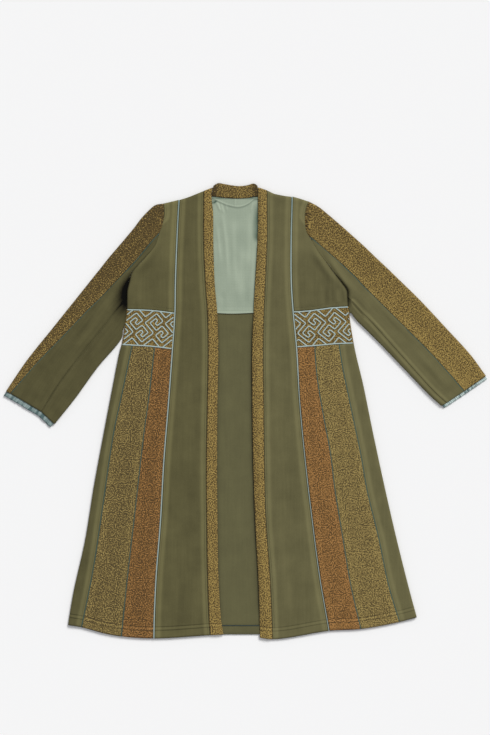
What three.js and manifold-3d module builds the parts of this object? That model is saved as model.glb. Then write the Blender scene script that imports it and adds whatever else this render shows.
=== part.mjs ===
// A long open-front fleece coat lying flat on its back, fronts uppermost.
// Millimetres, +Z up, floor at z = 0; +X is to the right as seen from above, +Y towards the neck.
// The back, the sleeve backs and the yoke lining lie lowest. Every front piece is a wall of
// cloth that lies over them and rolls down to them at the shoulders, sides and sleeve edges.
import * as THREE from 'three';
import { mergeVertices } from 'three/addons/utils/BufferGeometryUtils.js';
import Module from 'manifold-3d';

const wasm = await Module();
wasm.setup();

// Driving dimensions
const FLEECE = 2.2;            // thickness of the olive fleece and of the tweed knit
const BAND = 2.6;              // thickness of the doubled neckband
const LINING = 1.0;            // thickness of the yoke lining
const LINING_Z = 2.5;          // underside of the lining
const SEAM = 0.15;             // each piece stops this far short of a seam line
const CLEAR = 1.0;             // a sleeve keeps this far off the side of the body
const EDGE_IN = 1.1;           // the flat backs stop this far inside the silhouette
const HEM_IN = 1.5;            // and this far above the hem of the fronts
const ARMPIT_DIP = 1.0;        // depth of the hollow where a sleeve meets the side of the body
const TOP_Z = 6.2;             // upper face of the front pieces along a plain seam
const BAND_Z = 6.8;            // upper face of the waistbands and of the neckband edges
const CROWN = 1.4;             // the neckbands are this much higher along their middle
const SWELL = 0.9;             // height of the soft ridge beside each seam
const SWELL_AT = 9;            // distance of that ridge from its seam
const PIPE_W = 3.0;            // width of the piping
const PIPE_H = 3.4;            // height of the piping
const PIPE_GAP = PIPE_W / 2 + 2 * SEAM;
const PIPE_SINK = 0.7;         // its middle lies this far below the upper face of the fronts
const PIPE_START = 2.5;        // it starts this far down from the shoulder fold
const PIPE_LEVEL = 40;         // it has come down from the shoulder this far on
const PIPE_STEPS = 24;
const CORD_W = 3.0;            // width of the couched embroidery cord
const CORD_H = 1.4;            // its height above the waistband
const CORD_SINK = 1.2;         // its foot lies this deep in the band
const PLEATS = 20;             // pleats of the cuff frill on each of its two layers
const FRILL = 1.0;             // thickness of the frill ribbon
const FRILL_WAVE = 0.7;        // depth of its pleats
const FRILL_START = 0.6;       // it starts this far past the end of the sleeve
const FRILL_END = 0.015;       // share of its width taken by each side fold
const FRILL_Z = { top: 4.7, side: 2.8, low: FRILL_WAVE + 0.2 };

const OLIVE = { color: 0x66623f, roughness: 0.95, metalness: 0 };
const TWEED = { color: 0x84713c, roughness: 0.9, metalness: 0 };
const MUSTARD = { color: 0x7a6c3c, roughness: 0.9, metalness: 0 };
const RUST = { color: 0x8f6136, roughness: 0.9, metalness: 0 };
const SAGE = { color: 0x9aa795, roughness: 0.8, metalness: 0 };
const CORD = { color: 0xa9bbb8, roughness: 0.6, metalness: 0 };
const AQUA = { color: 0xa9bfba, roughness: 0.5, metalness: 0 };

// Section of a soft fold: distance in from the silhouette, and height of the outer face.
const FOLD = [
  { d: 0.9, z: 2.6 },
  { d: 0.0, z: 4.6 },
  { d: 1.2, z: 6.6 },
  { d: 4.2, z: 7.8 },
  { d: 9.0, z: 8.1 },
  { d: 18.0, z: 7.5 },
];
// The waistbands stay level up to the fold, under their embroidery.
const LEVEL_FOLD = [
  { d: 0.9, z: 2.6 },
  { d: 0.0, z: 4.2 },
  { d: 1.2, z: 5.9 },
  { d: 3.2, z: BAND_Z },
];
// The sleeve backs go on round the fold and join their own flat part.
const WHOLE_FOLD = [
  { d: 1.7, z: 1.2 },
  { d: 0.0, z: 3.6 },
  { d: 0.9, z: 6.2 },
  { d: 3.8, z: 7.7 },
  { d: 8.0, z: 7.9 },
];

// Rise of the piping out of the shoulder fold.
const PIPE_RISE = [
  { down: 0, lift: 0.3 },
  { down: 4, lift: 1.7 },
  { down: 12, lift: 1.4 },
  { down: 24, lift: 0.6 },
];

// Seams of the left front from above, x against y, from the neck down.
const LEFT_SEAMS = [
  { y: 562, inner: -81.5, outer: -104, piping: -164.5 },
  { y: 539, inner: -85, outer: -104.5, piping: -165.5 },
  { y: 500, inner: -81.2, outer: -105, piping: -168 },
  { y: 429, inner: -80.5, outer: -105, piping: -171.5 },
  { y: 316, inner: -76.7, outer: -100.3, piping: -175.5 },
  { y: 249, inner: -70.7, outer: -95.5, piping: -176.5 },
  { y: 159, inner: -68, outer: -93.5, piping: -182.5 },
  { y: 29, inner: -70, outer: -95.5, piping: -192 },
  { y: -121, inner: -71, outer: -98, piping: -204 },
  { y: -271, inner: -70, outer: -97.3, piping: -212.5 },
  { y: -421, inner: -67, outer: -94.8, piping: -224 },
  { y: -530, inner: -59.8, outer: -90.6, piping: -228.5 },
  { y: -562, inner: -54, outer: -88, piping: -229 },
];
const RIGHT_SEAMS = [
  { y: 562, inner: 30.5, outer: 53, piping: 116.5 },
  { y: 539, inner: 31, outer: 53.5, piping: 116.5 },
  { y: 429, inner: 30, outer: 53.7, piping: 114 },
  { y: 316, inner: 23.5, outer: 49, piping: 114.5 },
  { y: 249, inner: 20, outer: 46, piping: 119 },
  { y: 159, inner: 16.5, outer: 44, piping: 127.5 },
  { y: 29, inner: 16.8, outer: 45.2, piping: 135 },
  { y: -121, inner: 19, outer: 46.8, piping: 149 },
  { y: -271, inner: 24, outer: 50.7, piping: 166.5 },
  { y: -421, inner: 32, outer: 61.5, piping: 186.5 },
  { y: -530, inner: 35.3, outer: 66.3, piping: 205.5 },
  { y: -575, inner: 35.5, outer: 67.5, piping: 213 },
];
// Gore seams below the waistbands.
const LEFT_GORES = [
  { y: 170, rust: -226, mustard: -282 },
  { y: 26, rust: -242.5, mustard: -312.5 },
  { y: -46, rust: -252.5, mustard: -328 },
  { y: -264, rust: -277.5, mustard: -360.5 },
  { y: -397, rust: -293, mustard: -381 },
  { y: -570, rust: -311, mustard: -416 },
];
const RIGHT_GORES = [
  { y: 170, rust: 172.5, mustard: 233 },
  { y: 107, rust: 176.5, mustard: 243 },
  { y: 59, rust: 182.5, mustard: 253 },
  { y: -13, rust: 195, mustard: 268 },
  { y: -108, rust: 212.5, mustard: 288 },
  { y: -194, rust: 223, mustard: 303 },
  { y: -316, rust: 243, mustard: 332.5 },
  { y: -435, rust: 263, mustard: 357.5 },
  { y: -543, rust: 288, mustard: 390 },
];
// Side edge of the body: armhole, armpit fold, waist, hem.
const LEFT_SIDE = [
  { y: 520, x: -205 },
  { y: 506, x: -204 },
  { y: 489, x: -204 },
  { y: 469, x: -207 },
  { y: 446.5, x: -215 },
  { y: 411, x: -227.5 },
  { y: 385.5, x: -250 },
  { y: 366, x: -269 },
  { y: 349.5, x: -284 },
  { y: 326, x: -290.5 },
  { y: 303, x: -296 },
  { y: 284, x: -297 },
  { y: 256, x: -297.5 },
  { y: 224, x: -301 },
  { y: 175, x: -308 },
  { y: 149, x: -315 },
  { y: 69, x: -331 },
  { y: -51, x: -354 },
  { y: -186, x: -379 },
  { y: -321, x: -401 },
  { y: -456, x: -431 },
  { y: -540, x: -445 },
];
const RIGHT_SIDE = [
  { y: 525, x: 158.5 },
  { y: 509, x: 152 },
  { y: 487, x: 148.5 },
  { y: 466, x: 149 },
  { y: 446.5, x: 153.5 },
  { y: 432.5, x: 162.5 },
  { y: 415, x: 172.5 },
  { y: 393, x: 186.5 },
  { y: 370, x: 205 },
  { y: 349.5, x: 220.5 },
  { y: 323, x: 240.5 },
  { y: 303, x: 254 },
  { y: 284, x: 256 },
  { y: 254, x: 259 },
  { y: 231.5, x: 261 },
  { y: 169, x: 271 },
  { y: 144, x: 276 },
  { y: 69, x: 294 },
  { y: -51, x: 318.5 },
  { y: -186, x: 347.5 },
  { y: -321, x: 378.5 },
  { y: -456, x: 412.5 },
  { y: -520, x: 430 },
];
// End lines, from left to right: shoulders, upper and lower edges of the waistbands, hem.
const LEFT_SHOULDER = [
  { x: -205, y: 520 },
  { x: -156, y: 532.5 },
  { x: -103, y: 553 },
  { x: -81, y: 561.5 },
];
const RIGHT_SHOULDER = [
  { x: 29, y: 562 },
  { x: 53.5, y: 554 },
  { x: 76, y: 544 },
  { x: 119, y: 537 },
  { x: 158.5, y: 525 },
];
const LEFT_WAIST = [{ x: -297.5, y: 256 }, { x: -237, y: 254 }, { x: -176.5, y: 247 }];
const LEFT_HIP = [{ x: -308.5, y: 165.5 }, { x: -237, y: 161.5 }, { x: -182, y: 155 }];
const RIGHT_WAIST = [{ x: 119, y: 250 }, { x: 165, y: 253.5 }, { x: 212, y: 260 }, { x: 258, y: 263 }];
const RIGHT_HIP = [{ x: 127.5, y: 160 }, { x: 172, y: 163 }, { x: 222, y: 167.5 }, { x: 271, y: 169.5 }];
const LEFT_HEM = [
  { x: -444, y: -534 },
  { x: -409.5, y: -540 },
  { x: -354, y: -555 },
  { x: -311.5, y: -562.5 },
  { x: -229, y: -567.5 },
  { x: -88, y: -559.5 },
  { x: -56, y: -558 },
];
const RIGHT_HEM = [
  { x: 35, y: -561 },
  { x: 67, y: -569 },
  { x: 210, y: -548.5 },
  { x: 288.5, y: -544 },
  { x: 385, y: -526.5 },
  { x: 429, y: -514.5 },
];
// The back's own hem, seen between the fronts.
const BACK_HEM = [{ x: -60, y: -557.5 }, { x: 40, y: -557.5 }];
// Neck of the back panel, from right to left: it follows the lower edge of the neckband.
const BACK_NECK = [
  { x: 31, y: 560 },
  { x: 31.3, y: 538.2 },
  { x: 4, y: 533.5 },
  { x: -15, y: 532.1 },
  { x: -35, y: 532.8 },
  { x: -55, y: 534.2 },
  { x: -84.8, y: 538.2 },
  { x: -82, y: 560 },
];
// Yoke lining, from its left shoulder round by the waist.
const YOKE = [
  { x: -192, y: 509 },
  { x: -198, y: 440 },
  { x: -220, y: 385 },
  { x: -262, y: 330 },
  { x: -268, y: 245.5 },
  { x: 228, y: 245.5 },
  { x: 222, y: 330 },
  { x: 170, y: 395 },
  { x: 136, y: 440 },
  { x: 140, y: 512 },
  { x: 60, y: 530 },
  { x: 31, y: 537.6 },
  { x: 4, y: 533 },
  { x: -15, y: 531.6 },
  { x: -35, y: 532.3 },
  { x: -55, y: 533.7 },
  { x: -84, y: 537.4 },
  { x: -110, y: 533 },
];
// Neckband across the back of the neck: top and lower edge, and the height of its section.
const NECK_BAND = [
  { topX: -80.5, lowX: -84.5, top: 564, low: 538.6 },
  { topX: -74, lowX: -76, top: 568.5, low: 537.2 },
  { topX: -66, lowX: -67, top: 571, low: 536 },
  { topX: -55, lowX: -55, top: 569, low: 534.7 },
  { topX: -35, lowX: -35, top: 565.5, low: 533.3 },
  { topX: -15, lowX: -15, top: 563.5, low: 532.6 },
  { topX: 4, lowX: 4, top: 565.5, low: 534 },
  { topX: 15, lowX: 15.5, top: 569, low: 536 },
  { topX: 22.5, lowX: 23.5, top: 569.5, low: 537.4 },
  { topX: 30, lowX: 31, top: 564.5, low: 538.6 },
];
const NECK_RISE = [
  { down: 0, z: 6.9 },
  { down: 0.12, z: 7.8 },
  { down: 0.3, z: 8.2 },
  { down: 0.55, z: 7.3 },
  { down: 0.8, z: 5.8 },
  { down: 1, z: 4.8 },
];

// Sleeves from the shoulder to the cuff: outer fold, seam of the knit top, underarm seam, lower fold.
const LEFT_SLEEVE = [
  { outerX: -205, outerY: 520, seamX: -215, seamY: 446.5 },
  { outerX: -225, outerY: 516.5, seamX: -219, seamY: 441.5, underX: -216, underY: 439.5 },
  { outerX: -241, outerY: 504, seamX: -224, seamY: 436, underX: -218, underY: 431.5 },
  { outerX: -261, outerY: 483, seamX: -229, seamY: 430.5, underX: -220, underY: 424 },
  { outerX: -279, outerY: 459, seamX: -235, seamY: 424, underX: -222, underY: 416.5 },
  { outerX: -299, outerY: 435, seamX: -254, seamY: 401, underX: -240, underY: 393 },
  { outerX: -319, outerY: 411.5, seamX: -273, seamY: 378, underX: -260, underY: 371 },
  { outerX: -342.5, outerY: 384, seamX: -299.5, seamY: 349, underX: -280, underY: 339 },
  { outerX: -366, outerY: 354, seamX: -326, seamY: 321, underX: -290, underY: 298 },
  { outerX: -373, outerY: 345.5, seamX: -333, seamY: 313.5, underX: -296, underY: 285,
    lowX: -290, lowY: 279 },
  { outerX: -396, outerY: 316.5, seamX: -358.5, seamY: 286.5, underX: -320.5, underY: 257,
    lowX: -290, lowY: 240 },
  { outerX: -426, outerY: 279, seamX: -393.5, seamY: 253, underX: -350, underY: 219,
    lowX: -307, lowY: 186 },
  { outerX: -486, outerY: 204, seamX: -460, seamY: 183.5, underX: -410, underY: 144,
    lowX: -369, lowY: 111.5 },
  { outerX: -546, outerY: 129, seamX: -527, seamY: 114, underX: -468, underY: 67,
    lowX: -424, lowY: 35.5 },
  { outerX: -599, outerY: 51, seamX: -587, seamY: 44.5, underX: -510, underY: -1,
    lowX: -477.5, lowY: -31.5 },
];
const RIGHT_SLEEVE = [
  { outerX: 158.5, outerY: 525, seamX: 160, seamY: 437.5 },
  { outerX: 181, outerY: 513, seamX: 169, seamY: 430, underX: 162, underY: 427.5 },
  { outerX: 201, outerY: 497.5, seamX: 175, seamY: 425, underX: 165, underY: 418.5 },
  { outerX: 246, outerY: 459, seamX: 193.5, seamY: 408, underX: 182, underY: 398.5 },
  { outerX: 271, outerY: 436.5, seamX: 219, seamY: 386, underX: 200, underY: 371 },
  { outerX: 296, outerY: 414, seamX: 244, seamY: 364, underX: 220, underY: 345 },
  { outerX: 325, outerY: 386, seamX: 274, seamY: 335.5, underX: 240, underY: 311 },
  { outerX: 341, outerY: 371, seamX: 290, seamY: 318, underX: 255, underY: 287, lowX: 250, lowY: 280 },
  { outerX: 359, outerY: 354, seamX: 305.5, seamY: 302, underX: 272, underY: 270.5,
    lowX: 250, lowY: 256 },
  { outerX: 377, outerY: 336.5, seamX: 323, seamY: 284.5, underX: 289, underY: 252,
    lowX: 270.5, lowY: 234.5 },
  { outerX: 436, outerY: 279, seamX: 381.5, seamY: 226, underX: 344.5, underY: 191,
    lowX: 329.5, lowY: 176.5 },
  { outerX: 506, outerY: 204, seamX: 454, seamY: 154, underX: 413, underY: 114,
    lowX: 400.5, lowY: 102.5 },
  { outerX: 561, outerY: 144, seamX: 509, seamY: 94, underX: 467, underY: 54.5, lowX: 456, lowY: 44.5 },
  { outerX: 601.5, outerY: 89, seamX: 546, seamY: 50.5, underX: 502.5, underY: 21.5,
    lowX: 489.5, lowY: 14 },
];
// Station at which the underarm seam comes out from under the body, and the one where the sleeve does.
const LEFT_UNDER = { seam: 9, free: 11 };
const RIGHT_UNDER = { seam: 7, free: 9 };

// The fret of the waistbands: one cord, turning square corners on a leaning grid of lines.
// `down` counts lines towards the hem, `up` counts lines towards the neck.
const FRET = [
  { down: 0, up: 0 },
  { down: 0, up: 4 },
  { down: 3, up: 4 },
  { down: 3, up: 2 },
  { down: 2, up: 2 },
  { down: 2, up: 3 },
  { down: 1, up: 3 },
  { down: 1, up: 1 },
  { down: 4, up: 1 },
  { down: 4, up: 3 },
  { down: 7, up: 3 },
  { down: 7, up: 1 },
  { down: 6, up: 1 },
  { down: 6, up: 2 },
  { down: 5, up: 2 },
  { down: 5, up: 0 },
  { down: 8, up: 0 },
  { down: 8, up: 4 },
];
const FRET_STEP = { down: 4, up: 4 };      // from one repeat to the next
const TOOTH_TOP = { down: -1.3, up: 1.1 };
const TOOTH_LOW = { down: 5.2, up: -1.2 };
const TOOTH_LEG = 5;
const DOWN_LINE = { pitch: 8.2, turn: -50 };
const UP_LINE = { pitch: 9.3, turn: 38 };
// The border cords lie this far in from the band's seams, side fold and piping.
const BORDER = { seam: 1.7, fold: 4.2, pipe: 1.2 };

// What differs between the halves; `s` is -1 on the left and +1 on the right. The armpit fold
// starts and is whole at a height y, and the sleeve lies against the body down to `meet`.
const SIDES = [
  {
    name: 'left', s: -1, seams: LEFT_SEAMS, gores: LEFT_GORES, side: LEFT_SIDE,
    shoulder: LEFT_SHOULDER, waist: LEFT_WAIST, hip: LEFT_HIP, hem: LEFT_HEM,
    sleeve: LEFT_SLEEVE, under: LEFT_UNDER, fretFrom: { x: -251.5, y: 221.5 },
    armpit: { roll: 405, full: 350 }, frill: { x: -8.2, y: -9 }, meet: 180,
  },
  {
    name: 'right', s: 1, seams: RIGHT_SEAMS, gores: RIGHT_GORES, side: RIGHT_SIDE,
    shoulder: RIGHT_SHOULDER, waist: RIGHT_WAIST, hip: RIGHT_HIP, hem: RIGHT_HEM,
    sleeve: RIGHT_SLEEVE, under: RIGHT_UNDER, fretFrom: { x: 201, y: 222.5 },
    armpit: { roll: 405, full: 340 }, frill: { x: 4.6, y: -5.4 }, meet: 232,
  },
];

const coat = new THREE.Group();

const mix = (a, b, f) => a + (b - a) * f;
const ease = (a, b, v) => {
  const f = Math.min(1, Math.max(0, (v - a) / (b - a)));
  return f * f * (3 - 2 * f);
};
const swell = (d) => (SWELL * d * Math.exp(1 - d / SWELL_AT)) / SWELL_AT;

// smooth curve through the rows of a table, `value` against `key`, straight beyond its ends
function smooth(table, key, value, v) {
  const way = Math.sign(table[1][key] - table[0][key]);
  let k = 0;
  while (k < table.length - 2 && way * (v - table[k + 1][key]) > 0) k += 1;
  const slope = (a, b) => (b[value] - a[value]) / (b[key] - a[key]);
  const [a, b] = [table[k], table[k + 1]];
  const here = slope(a, b);
  const lead = k > 0 ? (slope(table[k - 1], a) + here) / 2 : here;
  const tail = k < table.length - 2 ? (slope(b, table[k + 2]) + here) / 2 : here;
  const step = b[key] - a[key];
  const f = (v - a[key]) / step;
  if (f < 0) return a[value] + lead * (v - a[key]);
  if (f > 1) return b[value] + tail * (v - b[key]);
  const g = 1 - f;
  return a[value] * g * g * (1 + 2 * f) + b[value] * f * f * (3 - 2 * f)
    + step * f * g * (lead * g - tail * f);
}

const at = (table, column, y) => smooth(table, 'y', column, y);
const lineY = (line, x) => smooth(line, 'x', 'y', x);

function closed(points, faces) {
  const shape = new THREE.BufferGeometry();
  shape.setAttribute('position', new THREE.Float32BufferAttribute(points.flat(), 3));
  shape.setIndex(faces.flat());
  return shape;
}

// A wall of cloth. grid[row][column] is its outer face; the inner face lies `thick` behind it.
// With `round`, the last column joins the first.
function wall(grid, thick, round = false) {
  const rows = grid.length;
  const cols = grid[0].length;
  const span = round ? cols : cols - 1;
  const outer = grid.map((row) => row.map((v) => new THREE.Vector3(...v)));
  const normal = outer.map((row) => row.map(() => new THREE.Vector3()));
  for (let i = 0; i < rows - 1; i += 1) {
    for (let j = 0; j < span; j += 1) {
      const k = (j + 1) % cols;
      const near = outer[i][j].clone().add(outer[i][k]);
      const far = outer[i + 1][j].clone().add(outer[i + 1][k]);
      const first = outer[i][j].clone().add(outer[i + 1][j]);
      const second = outer[i][k].clone().add(outer[i + 1][k]);
      const n = far.sub(near).cross(second.sub(first)).normalize();
      for (const [r, c] of [[i, j], [i + 1, j], [i, k], [i + 1, k]]) normal[r][c].add(n);
    }
  }
  const points = [];
  for (const depth of [0, thick]) {
    for (let i = 0; i < rows; i += 1) {
      for (let j = 0; j < cols; j += 1) {
        const n = normal[i][j].clone().normalize();
        const lean = 1 - ease(0.8, 0.95, n.z);
        const push = new THREE.Vector3(n.x * lean, n.y * lean, n.z).normalize();
        points.push(outer[i][j].clone().addScaledVector(push, -depth).toArray());
      }
    }
  }
  const id = (side, i, j) => side * rows * cols + i * cols + (j % cols);
  const faces = [];
  const quad = (a, b, c, d) => faces.push([a, b, c], [a, c, d]);
  for (let i = 0; i < rows - 1; i += 1) {
    for (let j = 0; j < span; j += 1) {
      quad(id(0, i, j), id(0, i + 1, j), id(0, i + 1, j + 1), id(0, i, j + 1));
      quad(id(1, i, j), id(1, i, j + 1), id(1, i + 1, j + 1), id(1, i + 1, j));
    }
    if (!round) {
      quad(id(0, i, 0), id(1, i, 0), id(1, i + 1, 0), id(0, i + 1, 0));
      quad(id(0, i, span), id(0, i + 1, span), id(1, i + 1, span), id(1, i, span));
    }
  }
  for (let j = 0; j < span; j += 1) {
    quad(id(0, 0, j), id(0, 0, j + 1), id(1, 0, j + 1), id(1, 0, j));
    quad(id(0, rows - 1, j), id(1, rows - 1, j), id(1, rows - 1, j + 1), id(0, rows - 1, j + 1));
  }
  return closed(points, faces);
}

// A flat sheet from its outline.
function sheet(outline, z, thick) {
  const shape = new THREE.Shape(outline.map((v) => new THREE.Vector2(v.x, v.y)));
  const solid = new THREE.ExtrudeGeometry(shape, { depth: thick, bevelEnabled: false });
  solid.translate(0, 0, z);
  return solid;
}

// A cord along a path, its section a flattened octagon.
function cord(path, width, height) {
  const sides = 8;
  const grow = 0.5 / Math.cos(Math.PI / sides);
  const points = [];
  const faces = [];
  path.forEach((v, i) => {
    const before = path[Math.max(0, i - 1)];
    const after = path[Math.min(path.length - 1, i + 1)];
    const dir = new THREE.Vector2(after.x - before.x, after.y - before.y).normalize();
    for (let k = 0; k < sides; k += 1) {
      const turn = (2 * Math.PI * (k + 0.5)) / sides;
      const out = Math.cos(turn) * width * grow;
      points.push([v.x - dir.y * out, v.y + dir.x * out, v.z + Math.sin(turn) * height * grow]);
    }
  });
  const last = (path.length - 1) * sides;
  for (let a = 0; a < last; a += 1) {
    const b = a % sides === sides - 1 ? a + 1 - sides : a + 1;
    faces.push([a, b, b + sides], [a, b + sides, a + sides]);
  }
  for (let k = 1; k < sides - 1; k += 1) {
    faces.push([0, k + 1, k], [last, last + k, last + k + 1]);
  }
  return closed(points, faces);
}

// Geometry to manifold and back, for a piece joined from several forms.
function solidOf(geometry) {
  const bare = geometry.clone();
  bare.deleteAttribute('normal');
  bare.deleteAttribute('uv');
  const merged = mergeVertices(bare, 1e-4);
  return new wasm.Manifold(new wasm.Mesh({
    numProp: 3,
    vertProperties: new Float32Array(merged.getAttribute('position').array),
    triVerts: new Uint32Array(merged.getIndex().array),
  }));
}

function geometryOf(solid) {
  const mesh = solid.getMesh();
  const shape = new THREE.BufferGeometry();
  shape.setAttribute('position', new THREE.BufferAttribute(mesh.vertProperties, 3));
  shape.setIndex(new THREE.BufferAttribute(mesh.triVerts, 1));
  return shape;
}

function add(name, geometry, look) {
  const mesh = new THREE.Mesh(geometry, new THREE.MeshStandardMaterial(look));
  mesh.name = name;
  coat.add(mesh);
}

// Points across a piece `width` wide, as distance and height, from its first edge to its second.
// rollA and rollB say how far each edge rolls over, from 0, a plain seam, to 1, a full fold.
// dip sinks the second edge into a hollow.
function section({
  width, rollA = 0, rollB = 0, foldA, foldB, cols, base = TOP_Z, crown = 0, flat = false, dip = 0,
}) {
  const reachOf = (fold) => (fold ? fold[fold.length - 1].d : 0);
  const full = reachOf(foldA) + reachOf(foldB);
  const squeeze = full > 0 ? Math.min(1, (0.75 * width) / full) : 1;
  const reachA = reachOf(foldA) * squeeze;
  const reachB = reachOf(foldB) * squeeze;
  const plain = (d) => {
    if (crown) return base + crown * Math.sin((Math.PI * d) / width);
    if (flat) return base;
    const sink = dip * Math.exp(-(width - d) / 12);
    return base + (1 - rollA) * swell(d) + (1 - rollB) * swell(width - d) * (1 - dip) - sink;
  };
  const lift = (fold, roll, reach, d) => {
    if (!fold || flat) return 0;
    return roll * (fold[fold.length - 1].z - base) * Math.exp(-Math.max(0, d - reach) / 16);
  };
  const side = (fold, roll, from) => fold.map((f, k) => {
    const even = (reachOf(fold) * k) / (fold.length - 1);
    const d = mix(even, f.d, roll) * squeeze;
    const place = from > 0 ? from - d : d;
    return { d: place, z: mix(plain(place), f.z, roll) };
  });
  const spots = foldA ? side(foldA, rollA, 0) : [];
  const startAt = foldA ? 1 : 0;
  const steps = cols - 1 + startAt + (foldB ? 1 : 0);
  for (let k = startAt; k < startAt + cols; k += 1) {
    const d = mix(reachA, width - reachB, k / steps);
    spots.push({ d, z: plain(d) + lift(foldA, rollA, reachA, d) + lift(foldB, rollB, reachB, width - d) });
  }
  if (foldB) spots.push(...side(foldB, rollB, width).reverse());
  return spots;
}

// A piece of the body between two seams, given as x at a height y, and two end lines.
function panel({ left, right, top, bottom, rows, shoulder = false, rollLeft, rollRight, ...shape }) {
  const leads = shoulder ? FOLD : [{ d: SEAM, z: 0 }];
  const across = (y) => {
    const from = left(y);
    const to = right(y);
    const spots = section({
      ...shape,
      width: to - from,
      rollA: rollLeft ? rollLeft(y) : 0,
      rollB: rollRight ? rollRight(y) : 0,
    });
    return spots.map((s) => ({ x: from + s.d, z: s.z }));
  };
  const middle = (top[0].x + top[top.length - 1].x) / 2;
  const columns = across(lineY(top, middle)).length;
  const grid = [];
  for (let i = 0; i < leads.length + rows; i += 1) {
    const lead = leads[Math.min(i, leads.length - 1)];
    const v = Math.max(0, i - leads.length + 1) / rows;
    const line = [];
    for (let j = 0; j < columns; j += 1) {
      let x = middle;
      let y = 0;
      let z = 0;
      for (let turn = 0; turn < 8; turn += 1) {
        y = mix(lineY(top, x) - lead.d, lineY(bottom, x) + SEAM, v);
        const spot = across(y)[j];
        x = spot.x;
        z = spot.z;
      }
      if (shoulder) {
        const depth = lineY(top, x) - y;
        const rolled = lead.z - Math.max(0, TOP_Z + 0.4 - z);
        z = mix(Math.min(rolled, i < 3 ? Math.min(lead.z, z) : rolled), z, ease(6, 40, depth));
      }
      line.push([x, y, z]);
    }
    grid.push(line);
  }
  return grid;
}

// A point on one of the long lines of a sleeve, at a station that may fall between two rows.
function onSleeve(table, name, t) {
  const k = Math.min(table.length - 2, Math.floor(t));
  const a = table[k];
  const b = table[k + 1];
  return {
    x: mix(a[`${name}X`], b[`${name}X`], t - k),
    y: mix(a[`${name}Y`], b[`${name}Y`], t - k),
  };
}

// A piece of a sleeve between two of its long lines.
function strip({ stations, first, second, rollA, rollB, dip, ...shape }) {
  const grid = stations.map((t) => {
    const p = first(t);
    const q = second(t);
    const length = Math.hypot(q.x - p.x, q.y - p.y);
    const ux = (q.x - p.x) / length;
    const uy = (q.y - p.y) / length;
    const spots = section({
      ...shape,
      width: length - 2 * SEAM,
      rollA: rollA ? rollA(t) : 0,
      rollB: rollB ? rollB(t) : 0,
      dip: dip ? dip(t) : 0,
    });
    return spots.map((s) => [p.x + ux * (s.d + SEAM), p.y + uy * (s.d + SEAM), s.z]);
  });
  const [a, b] = [grid[0][0], grid[grid.length - 1][0]];
  const c = grid[0][grid[0].length - 1];
  const turn = (b[0] - a[0]) * (c[1] - a[1]) - (b[1] - a[1]) * (c[0] - a[0]);
  return turn > 0 ? grid : grid.map((row) => row.slice().reverse());
}

// Stations from one to another, at most about `gap` mm apart on the outer line.
function stationsOf(table, from, to, gap) {
  const list = [from];
  for (let k = Math.floor(from); k < to; k += 1) {
    const start = Math.max(k, from);
    const end = Math.min(k + 1, to);
    const a = onSleeve(table, 'seam', start);
    const b = onSleeve(table, 'seam', end);
    const parts = Math.max(1, Math.ceil(Math.hypot(b.x - a.x, b.y - a.y) / gap));
    for (let m = 1; m <= parts; m += 1) list.push(mix(start, end, m / parts));
  }
  return list;
}

// Lines and choices that the pieces of one half share. A line is x at a height y, `out` mm further
// from the coat's middle.
function halfOf(side) {
  const { s, sleeve } = side;
  const line = (table, name) => (out = 0) => (y) => at(table, name, y) + s * out;
  const edge = line(side.side, 'x');
  return {
    ...side,
    edge,
    pipe: line(side.seams, 'piping'),
    outer: line(side.seams, 'outer'),
    inner: line(side.seams, 'inner'),
    rust: line(side.gores, 'rust'),
    mustard: line(side.gores, 'mustard'),
    between: (far, near) => (s < 0 ? { left: far, right: near } : { left: near, right: far }),
    fold: (roll, turn) => (s < 0 ? { rollLeft: roll, foldA: turn } : { rollRight: roll, foldB: turn }),
    last: sleeve.length - 1,
    along: (name) => (t) => onSleeve(sleeve, name, t),
    offBody: (path) => (t) => {
      const v = path(t);
      const limit = edge(CLEAR)(v.y);
      return v.y > side.meet && s * v.x < s * limit ? { x: limit, y: v.y } : v;
    },
  };
}

// Front panel, its neckband, and the side front above the waistband.
function fronts(half) {
  const { name, shoulder, waist, hem, armpit } = half;
  add(`front_panel_${name}`, wall(panel({
    ...half.between(half.pipe(-PIPE_GAP), half.outer(SEAM)),
    top: shoulder, bottom: hem, rows: 21, cols: 7, shoulder: true,
  }), FLEECE), OLIVE);

  add(`neckband_${name}`, wall(panel({
    ...half.between(half.outer(-SEAM), half.inner()),
    top: shoulder, bottom: hem, rows: 21, cols: 5, shoulder: true, base: BAND_Z, crown: CROWN,
  }), BAND), TWEED);

  add(`side_front_${name}`, wall(panel({
    ...half.between(half.edge(-2 * SEAM), half.pipe(PIPE_GAP)),
    ...half.fold((y) => ease(armpit.roll, armpit.full, y), FOLD),
    top: shoulder, bottom: waist, rows: 17, cols: 4, shoulder: true,
  }), FLEECE), OLIVE);
}

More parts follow.
